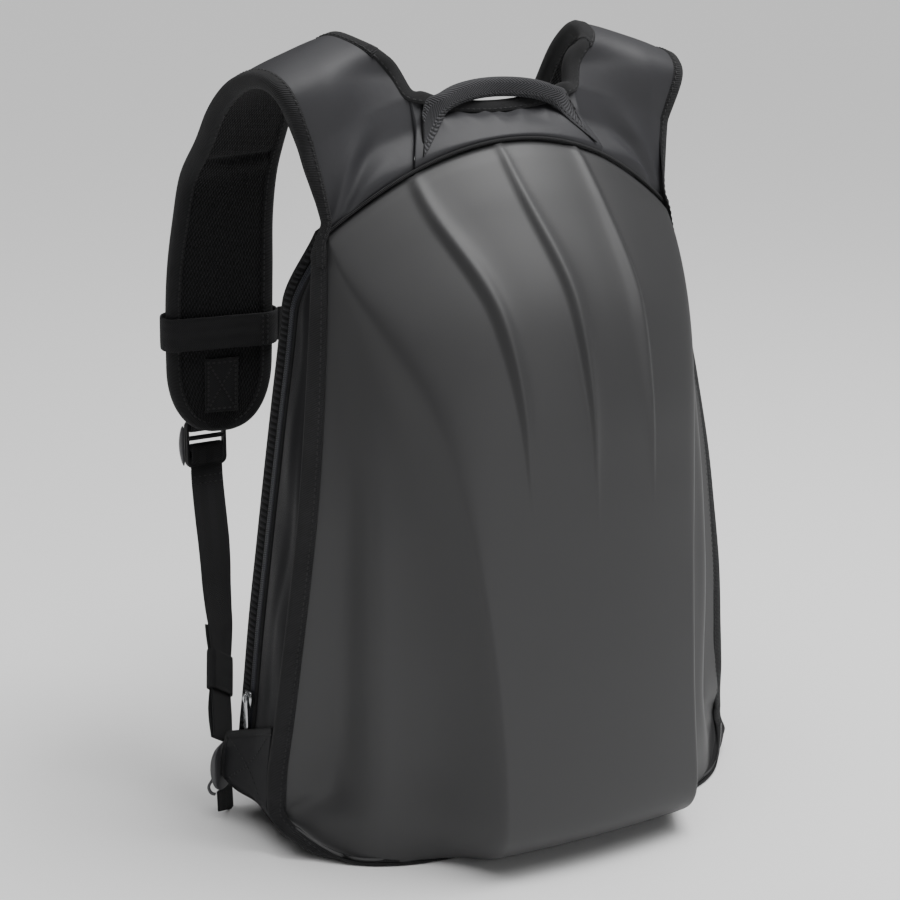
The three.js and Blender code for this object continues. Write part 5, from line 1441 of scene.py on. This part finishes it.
class BACKPACK_OT_lock(bpy.types.Operator):
    """Makes the ladder locks: a rounded frame with three bars, a lift tab and a side lever."""

    bl_idname = "backpack.lock"
    bl_label = "Ladder locks"

    def execute(self, context):
        look = finishes(context.scene.backpack_colours)
        lock = np.array(LOCK_CENTRE)
        shape = Shape()
        loop, outward = rounded_loop(14.4, 16.4, 4.0, 120)
        upright = lambda flat: flat[:, :1] * RIGHT + flat[:, 1:] * UP
        section = round_section(1.7, 2.0, 16, 0.6)
        shape.tube(sweep(lock + upright(loop), section, upright(outward), BACK), loop=True)
        across = np.linspace(-14.2, 14.2, 30)
        for level, tall, back in ((12.6, 1.9, 0.0), (4.05, 1.7, -0.4), (-4.05, 1.7, 0.4), (-12.8, 2.1, 0.0)):
            centre = lock + across[:, None] * RIGHT + BACK * back + UP * level
            shape.tube(sweep(centre, round_section(tall, 1.75, 16, 0.7), UP, BACK))
        lift = curve([(0, 0.5, -15), (0, 2.2, -18.5), (0, 3.6, -21.0)], 16)
        place = np.arange(16)
        half = mix(12.5, 10.5, smooth(place, 0, 16)) * np.sqrt(np.clip(1 - (place / 15.4) ** 10, 0, 1))
        shape.tube(sweep(lock + lift, round_section(1, 1, 20, 0.4), RIGHT * half[:, None], BACK * 0.9))
        both(shape, "ladder_lock_frame", [look["plastic"]], "buckle_plastic", ["ladder_lock"])
        lever = Shape()
        down = np.linspace(0, 1, 24)
        swell = np.sin(np.pi * np.clip(down * 1.02, 0, 1)) ** 0.45
        centre = lock + np.stack([-17.2 - 1.2 * np.sin(np.pi * down), 0.3 + 0 * down, 14 - 30 * down], 1)
        wide, deep = (1.5 * swell + 0.2)[:, None], (2.3 * swell + 0.2)[:, None]
        lever.tube(sweep(centre, round_section(1, 1, 16, 0.65), RIGHT * wide, BACK * deep))
        both(lever, "ladder_lock_lever", [look["bow"]], "buckle_plastic", [])
        return {"FINISHED"}


def adjuster_width(share):
    """The width direction of the adjuster webbing, which turns edge-on on its way down."""
    angle = np.radians(42) * smooth(share, 0.15, 0.8)
    return np.stack([np.cos(angle), np.sin(angle), 0 * angle], -1)


class BACKPACK_OT_adjuster(bpy.types.Operator):
    """Makes the adjuster webbing from lock to corner, doubled below its keeper, and the tail."""

    bl_idname = "backpack.adjuster"
    bl_label = "Adjuster webbing"

    def execute(self, context):
        look = finishes(context.scene.backpack_colours)
        width = context.scene.backpack_sizes.webbing_width / MM
        lock, anchor = np.array(LOCK_CENTRE), np.array(HANG)
        top = lock + [0, 0, -18.7]
        end = anchor + [0, 0, 17.3]
        main = curve([top, (top + end) / 2 + [2, -2, 0], end], 150)
        share = np.linspace(0, 1, 150)
        sag = 0.8 * np.sin(share * 17) * np.sin(np.pi * share)
        widths = adjuster_width(share)
        thick = unit(np.cross(widths, along_of(main)))
        main = main + thick * sag[:, None]
        wrap = np.array([(0, 2.9, -13), (0, 3.0, -6), (0, 2.4, -2.2), (0, 0, -1.0), (0, -2.6, -2.2),
                         (0, -3.1, -6), (0, -2.8, -12), (0, -1.2, -17)]) + lock
        path = curve(np.concatenate([wrap, main[6::12], main[-1:]]), 260)
        at = np.clip((top[2] - path[:, 2]) / (top[2] - end[2]), 0, 1)
        shape = Shape()
        shape.tube(strip_rings(path, adjuster_width(at), width, 1.7))
        for level in (0.035, 0.06):
            row = np.linspace(-width / 2 + 2, width / 2 - 2, 20)
            k = int(level * 150)
            seam = main[k] + widths[k] * row[:, None]
            stitch_row(shape, seam - BACK, np.repeat(-BACK[None], 20, 0), 2.4, 0.6, 0.5, kind=1)
        lower = share > 0.6
        layer = main[lower] + thick[lower] * (2.1 + 0.9 * np.sin(share[lower] * 23))[:, None]
        shape.tube(strip_rings(layer, widths[lower], width, 1.6))
        both(shape, "adjuster_webbing", [look["webbing"], look["thread"]], "webbing", ["adjuster_webbing"])
        self.keeper(look, main, widths, width)
        tail = Shape()
        down = np.linspace(0, 1, 30)
        path = anchor + np.stack([0 * down, -down, -17.3 - 17 * down], 1)
        tail.tube(strip_rings(path, adjuster_width(np.array(1.0)), width, 1.7, slant=0.3))
        both(tail, "webbing_tail_end", [look["webbing"]], "webbing", ["webbing_tail"])
        return {"FINISHED"}

    def keeper(self, look, main, widths, width):
        """A snug sleeve of webbing round both layers."""
        k = int(0.76 * 150)
        along = along_of(main)[k]
        side = unit(widths[k] - along * (widths[k] @ along))
        thick = np.cross(side, along)
        loop, outward = rounded_loop(width / 2 + 1.4, 3.0, 2.6, 80)
        centre = main[k] + thick * 0.8 + side * loop[:, :1] + thick * loop[:, 1:]
        way = side * outward[:, :1] + thick * outward[:, 1:]
        sleeve = Shape()
        sleeve.tube(sweep(centre, round_section(0.75, 14, 20, 0.34), way, along), loop=True)
        both(sleeve, "keeper_sleeve", [look["webbing"]], "webbing", ["webbing_keeper"])


class BACKPACK_OT_lower(bpy.types.Operator):
    """Makes the bowed lower buckle with its grip ridges and hook."""

    bl_idname = "backpack.lower"
    bl_label = "Lower buckles"

    def execute(self, context):
        look = finishes(context.scene.backpack_colours)
        anchor = np.array(HANG)
        side = adjuster_width(np.array(1.0))
        bowed = np.array([-side[1], side[0], 0])
        down = -UP
        share = np.linspace(0, 1, 60)
        rise = np.sin(np.pi * share)
        wide = 14 * np.clip(1 - np.abs(2 * share - 1) ** 5, 0.02, 1) ** 0.4
        thick = (1.1 + 2.4 * rise) * np.clip(1 - np.abs(2 * share - 1) ** 14, 0.1, 1)
        centre = anchor + down * (share[:, None] - 0.5) * 34 + bowed * (-1.2 + thick)[:, None]
        section = round_section(1, 1, 28, 0.6)
        section[:, 1] *= np.where(section[:, 1] > 0, 1 - 0.12 * section[:, 0] ** 2, 1)
        shape = Shape()
        shape.tube(sweep(centre, section, side * wide[:, None], bowed * thick[:, None]))
        for level in (-0.16, -0.08, 0.0, 0.08, 0.16):
            across = np.linspace(-8.5, 8.5, 18)
            k = int((level + 0.5) * 59)
            rise = thick[k] * (1 - 0.12 * (across / 14) ** 2) - 0.1
            ridge = centre[k] + side * across[:, None] + bowed * rise[:, None]
            shape.tube(sweep(ridge, round_section(0.55, 0.55, 8, 1.0), down, bowed))
        rows = [(8, 4.0, 10), (13, 6.2, 12), (17, 4.4, 12.5), (18, 1.5, 12)]
        hook = curve([anchor + down * a + bowed * b - side * c for a, b, c in rows], 20)
        shape.tube(sweep(hook, round_section(1.3, 1.0, 12, 0.8), side, unit(np.cross(along_of(hook), side))))
        both(shape, "lower_buckle_bow", [look["bow"]], "buckle_plastic", ["lower_buckle"])
        return {"FINISHED"}


class BACKPACK_OT_wing(bpy.types.Operator):
    """Makes the fabric wing at each lower corner, with stitched diagonals and bound free edges."""

    bl_idname = "backpack.wing"
    bl_label = "Corner wings"

    def execute(self, context):
        look = finishes(context.scene.backpack_colours)
        keep = (RIM["point"][:, 0] < 0) & (RIM["point"][:, 2] < 86) & (RIM["point"][:, 2] > 20.5)
        rim = rim_part(keep)
        z = rim["point"][:, 2]
        down = (z.max() - z) / (z.max() - z.min())
        share = np.linspace(0, 1, 40)
        layers = []
        for out in (4.3, 1.9):
            grid = []
            for s in share:
                puff = (0.7 * np.sin(np.pi * s) * np.sin(np.pi * down)) if out > 2 else 0 * down
                flare = 7.5 * smooth(s, 0.35, 1)
                point = outline(rim, np.full(len(z), mix(-6, 50.0, s)), out + puff + flare)
                point[:, 2] += s * (12 * down - 23 * (1 - down))
                grid.append(point)
            layers.append(np.stack(grid, 1))
        shape = Shape()
        shape.wall(layers[0], layers[1])
        outer = layers[0]
        rows, columns = outer.shape[:2]
        normal = -normals_of(outer)
        normal = normal * -np.sign(normal[..., :1])
        t = np.linspace(0, 1, 60)
        lines = [(0.12 + 0.76 * t, 0.9 - 0.75 * t), (0.12 + 0.76 * t, 0.15 + 0.75 * t), (0.06 + 0 * t, t),
                 (0.94 + 0 * t, t), (t * 0.9 + 0.05, 0 * t + 0.95)]
        for r, c in lines:
            row = np.clip((r * (rows - 1)).astype(int), 0, rows - 1)
            column = np.clip((c * (columns - 1)).astype(int), 0, columns - 1)
            path = soften(outer[row, column], 3) + normal[row, column] * 0.1
            stitch_row(shape, path, normal[row, column], 2.6, kind=1)
        border = np.concatenate([outer[0, :], outer[1:, -1], outer[-1, -2::-1]])
        under = np.concatenate([layers[1][0, :], layers[1][1:, -1], layers[1][-1, -2::-1]])
        path, under = resample(border, 260, under)
        middle = soften((path + under) / 2, 6)
        over = unit(path - under)
        along = along_of(middle)
        outward = unit(np.cross(along, over))
        centre = outer[rows // 2, columns // 2]
        outward = outward * np.sign(np.sum(outward * (middle - centre), 1, keepdims=True))
        section = [(-4, 1.5), (-1, 1.9), (1.0, 1.5), (1.6, 0), (1.0, -1.5), (-1, -1.9), (-4, -1.5)]
        shape.tube(band(middle, outward, over, section), kind=2)
        # The wing wears the side cloth, whose dark colour is painted shade.
        finish_list = [look["side"], look["thread"], look["tape"]]
        both(shape, "corner_wing_cloth", finish_list, "coated_fabric", ["corner_wing"])
        return {"FINISHED"}


class BACKPACK_OT_chest(bpy.types.Operator):
    """Makes the chest strap: a loop round each pad, its webbing and a plain side-release buckle."""

    bl_idname = "backpack.chest"
    bl_label = "Chest strap"

    def execute(self, context):
        look = finishes(context.scene.backpack_colours)
        width = context.scene.backpack_sizes.webbing_width / MM
        frame_at = strap_frame(CHEST_HEIGHT)
        side, pack = frame_at["width"], frame_at["pack"]
        upward = np.cross(side, pack)
        half_wide = frame_at["reach"] / 2 + 6.4
        loop, outward = rounded_loop(half_wide, 9.3, 9.2, 200)
        loop = loop + outward * 0.25 * np.sin(np.linspace(0, 12 * np.pi, 200))[:, None]
        centre = frame_at["middle"] + side * loop[:, :1] + pack * loop[:, 1:]
        way = side * outward[:, :1] + pack * outward[:, 1:]
        shape = Shape()
        shape.tube(sweep(centre, round_section(0.9, width / 2, 20, 0.34), way, upward), loop=True)
        for offset in (9, 12.5):
            row = np.linspace(-width / 2 + 2.2, width / 2 - 2.2, 16)
            seam = frame_at["middle"] - side * (half_wide - offset) + pack * 10.35 + upward * row[:, None]
            stitch_row(shape, seam, np.repeat(pack[None], 16, 0), 2.4, 0.6, 0.5, kind=1)
        both(shape, "chest_loop_webbing", [look["webbing"], look["thread"]], "webbing", ["chest_loop"])
        start = frame_at["middle"] - side * (half_wide + 1.0)
        end = np.array([-22.0, start[1] + 4, CHEST_HEIGHT])
        path = curve([start, (start + end) / 2 + [0, 1.5, -1.5], end], 90)
        webbing = Shape()
        webbing.tube(strip_rings(path, UP, width, 1.7))
        webbing.tube(strip_rings(path[52:] + BACK * 2.1, UP, width - 0.4, 1.6))
        both(webbing, "chest_strap_webbing", [look["webbing"]], "webbing", ["chest_webbing"])
        self.buckle(look, end[1])
        return {"FINISHED"}

    def buckle(self, look, y):
        """One rounded body with a waist at its two squeeze arms."""
        share = np.linspace(-1, 1, 90)
        away = np.abs(share)
        waist = 1 - 0.16 * np.exp(-((away - 0.45) / 0.14) ** 2)
        joint = 1 - 0.22 * np.exp(-((share - 0.12) / 0.03) ** 2)
        tall = 15 * waist * (1 - 0.1 * smooth(away, 0.7, 1))
        thick = 4.5 * joint * (1 - 0.25 * smooth(away, 0.6, 1))
        end = np.sqrt(np.clip(1 - away**24, 0.02, 1))
        centre = share[:, None] * RIGHT * 23 + BACK * y + UP * CHEST_HEIGHT
        shape = Shape()
        shape.tube(sweep(centre, round_section(1, 1, 36, 0.45), UP * (tall * end)[:, None],
                         BACK * (thick * end)[:, None]))
        shape.make("chest_buckle_body", [look["plastic"]], "buckle_plastic", ["chest_buckle"])


# Stage

class BACKPACK_OT_stage(bpy.types.Operator):
    """Makes the floor, the lights and the camera."""

    bl_idname = "backpack.stage"
    bl_label = "Stage"

    def execute(self, context):
        look = finishes(context.scene.backpack_colours)
        scene = context.scene
        edge = np.linspace(-40000, 40000, 9)
        grid = np.stack(np.broadcast_arrays(edge[None], edge[:, None], 0.0 * edge[None]), -1)
        paper = Shape()
        paper.wall(grid, grid - [0, 0, 20.0])
        paper.make("floor", [look["stage"]], "tape")
        world = bpy.data.worlds.new("Studio")
        scene.world = world
        world.use_nodes = True
        world.node_tree.nodes["Background"].inputs[0].default_value = (1, 1, 1, 1)
        world.node_tree.nodes["Background"].inputs[1].default_value = 0.1
        self.light("sky", "SUN", (0.2, -0.1, 2.2), (0.0, 0.0, 0.3), np.radians(80), 2.6)
        self.light("key", "AREA", (0.55, -0.35, 1.9), (0.0, 0.0, 0.35), 1.0, 30)
        self.light("front", "AREA", (0.0, -2.3, 0.9), (0.0, 0.0, 0.25), 0.9, 8)
        azimuth, pitch = np.radians(-30), np.radians(16)
        back = np.array([np.sin(azimuth) * np.cos(pitch), -np.cos(azimuth) * np.cos(pitch), np.sin(pitch)])
        right = np.array([np.cos(azimuth), np.sin(azimuth), 0])
        upward = np.cross(back, right)
        aim = np.array([-39.6, 0, 253]) * MM
        camera = bpy.data.objects.new("camera", bpy.data.cameras.new("camera"))
        camera.data.sensor_width = 36
        camera.data.lens = 84
        camera.matrix_world = Matrix(np.column_stack([right, upward, back]).tolist()).to_4x4()
        camera.location = Vector(aim + back * 1.405)
        scene.collection.objects.link(camera)
        scene.camera = camera
        return {"FINISHED"}

    def light(self, name, kind, place, aim, size, power):
        """A soft light at a place, turned to its aim: a wide sun with an angle, or a square area light."""
        lamp = bpy.data.lights.new(name, kind)
        if kind == "SUN":
            lamp.angle = size
        else:
            lamp.size = size
        lamp.energy = power
        light = bpy.data.objects.new(name, lamp)
        light.location = place
        light.rotation_euler = (Vector(place) - Vector(aim)).to_track_quat("Z", "Y").to_euler()
        bpy.context.scene.collection.objects.link(light)


class BACKPACK_PT_panel(bpy.types.Panel):
    """Lists the pack's pieces, sizes and colours."""

    bl_idname = "BACKPACK_PT_panel"
    bl_label = "Backpack"
    bl_space_type = "VIEW_3D"
    bl_region_type = "UI"
    bl_category = "Backpack"

    def draw(self, context):
        for group in (context.scene.backpack_sizes, context.scene.backpack_colours):
            for name in group.bl_rna.properties.keys():
                if name not in ("rna_type", "name"):
                    self.layout.prop(group, name)
        for operator in OPERATORS:
            self.layout.operator(operator.bl_idname)


OPERATORS = (BACKPACK_OT_stage, BACKPACK_OT_shell, BACKPACK_OT_binding, BACKPACK_OT_gusset,
             BACKPACK_OT_zipper, BACKPACK_OT_back, BACKPACK_OT_straps, BACKPACK_OT_yoke, BACKPACK_OT_handle,
             BACKPACK_OT_tab, BACKPACK_OT_lock, BACKPACK_OT_adjuster, BACKPACK_OT_lower, BACKPACK_OT_wing,
             BACKPACK_OT_chest)
CLASSES = (BackpackSizes, BackpackColours, *OPERATORS, BACKPACK_PT_panel)


def register():
    """Registers the classes and the settings on the scene."""
    for cls in CLASSES:
        bpy.utils.register_class(cls)
    bpy.types.Scene.backpack_sizes = bpy.props.PointerProperty(type=BackpackSizes)
    bpy.types.Scene.backpack_colours = bpy.props.PointerProperty(type=BackpackColours)


def unregister():
    """Removes what register added."""
    del bpy.types.Scene.backpack_colours
    del bpy.types.Scene.backpack_sizes
    for cls in reversed(CLASSES):
        bpy.utils.unregister_class(cls)


def main():
    """Makes every piece in order."""
    register()
    for operator in OPERATORS:
        name = operator.bl_idname.split(".")[1]
        getattr(bpy.ops.backpack, name)()
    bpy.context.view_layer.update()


if __name__ == "__main__":
    main()
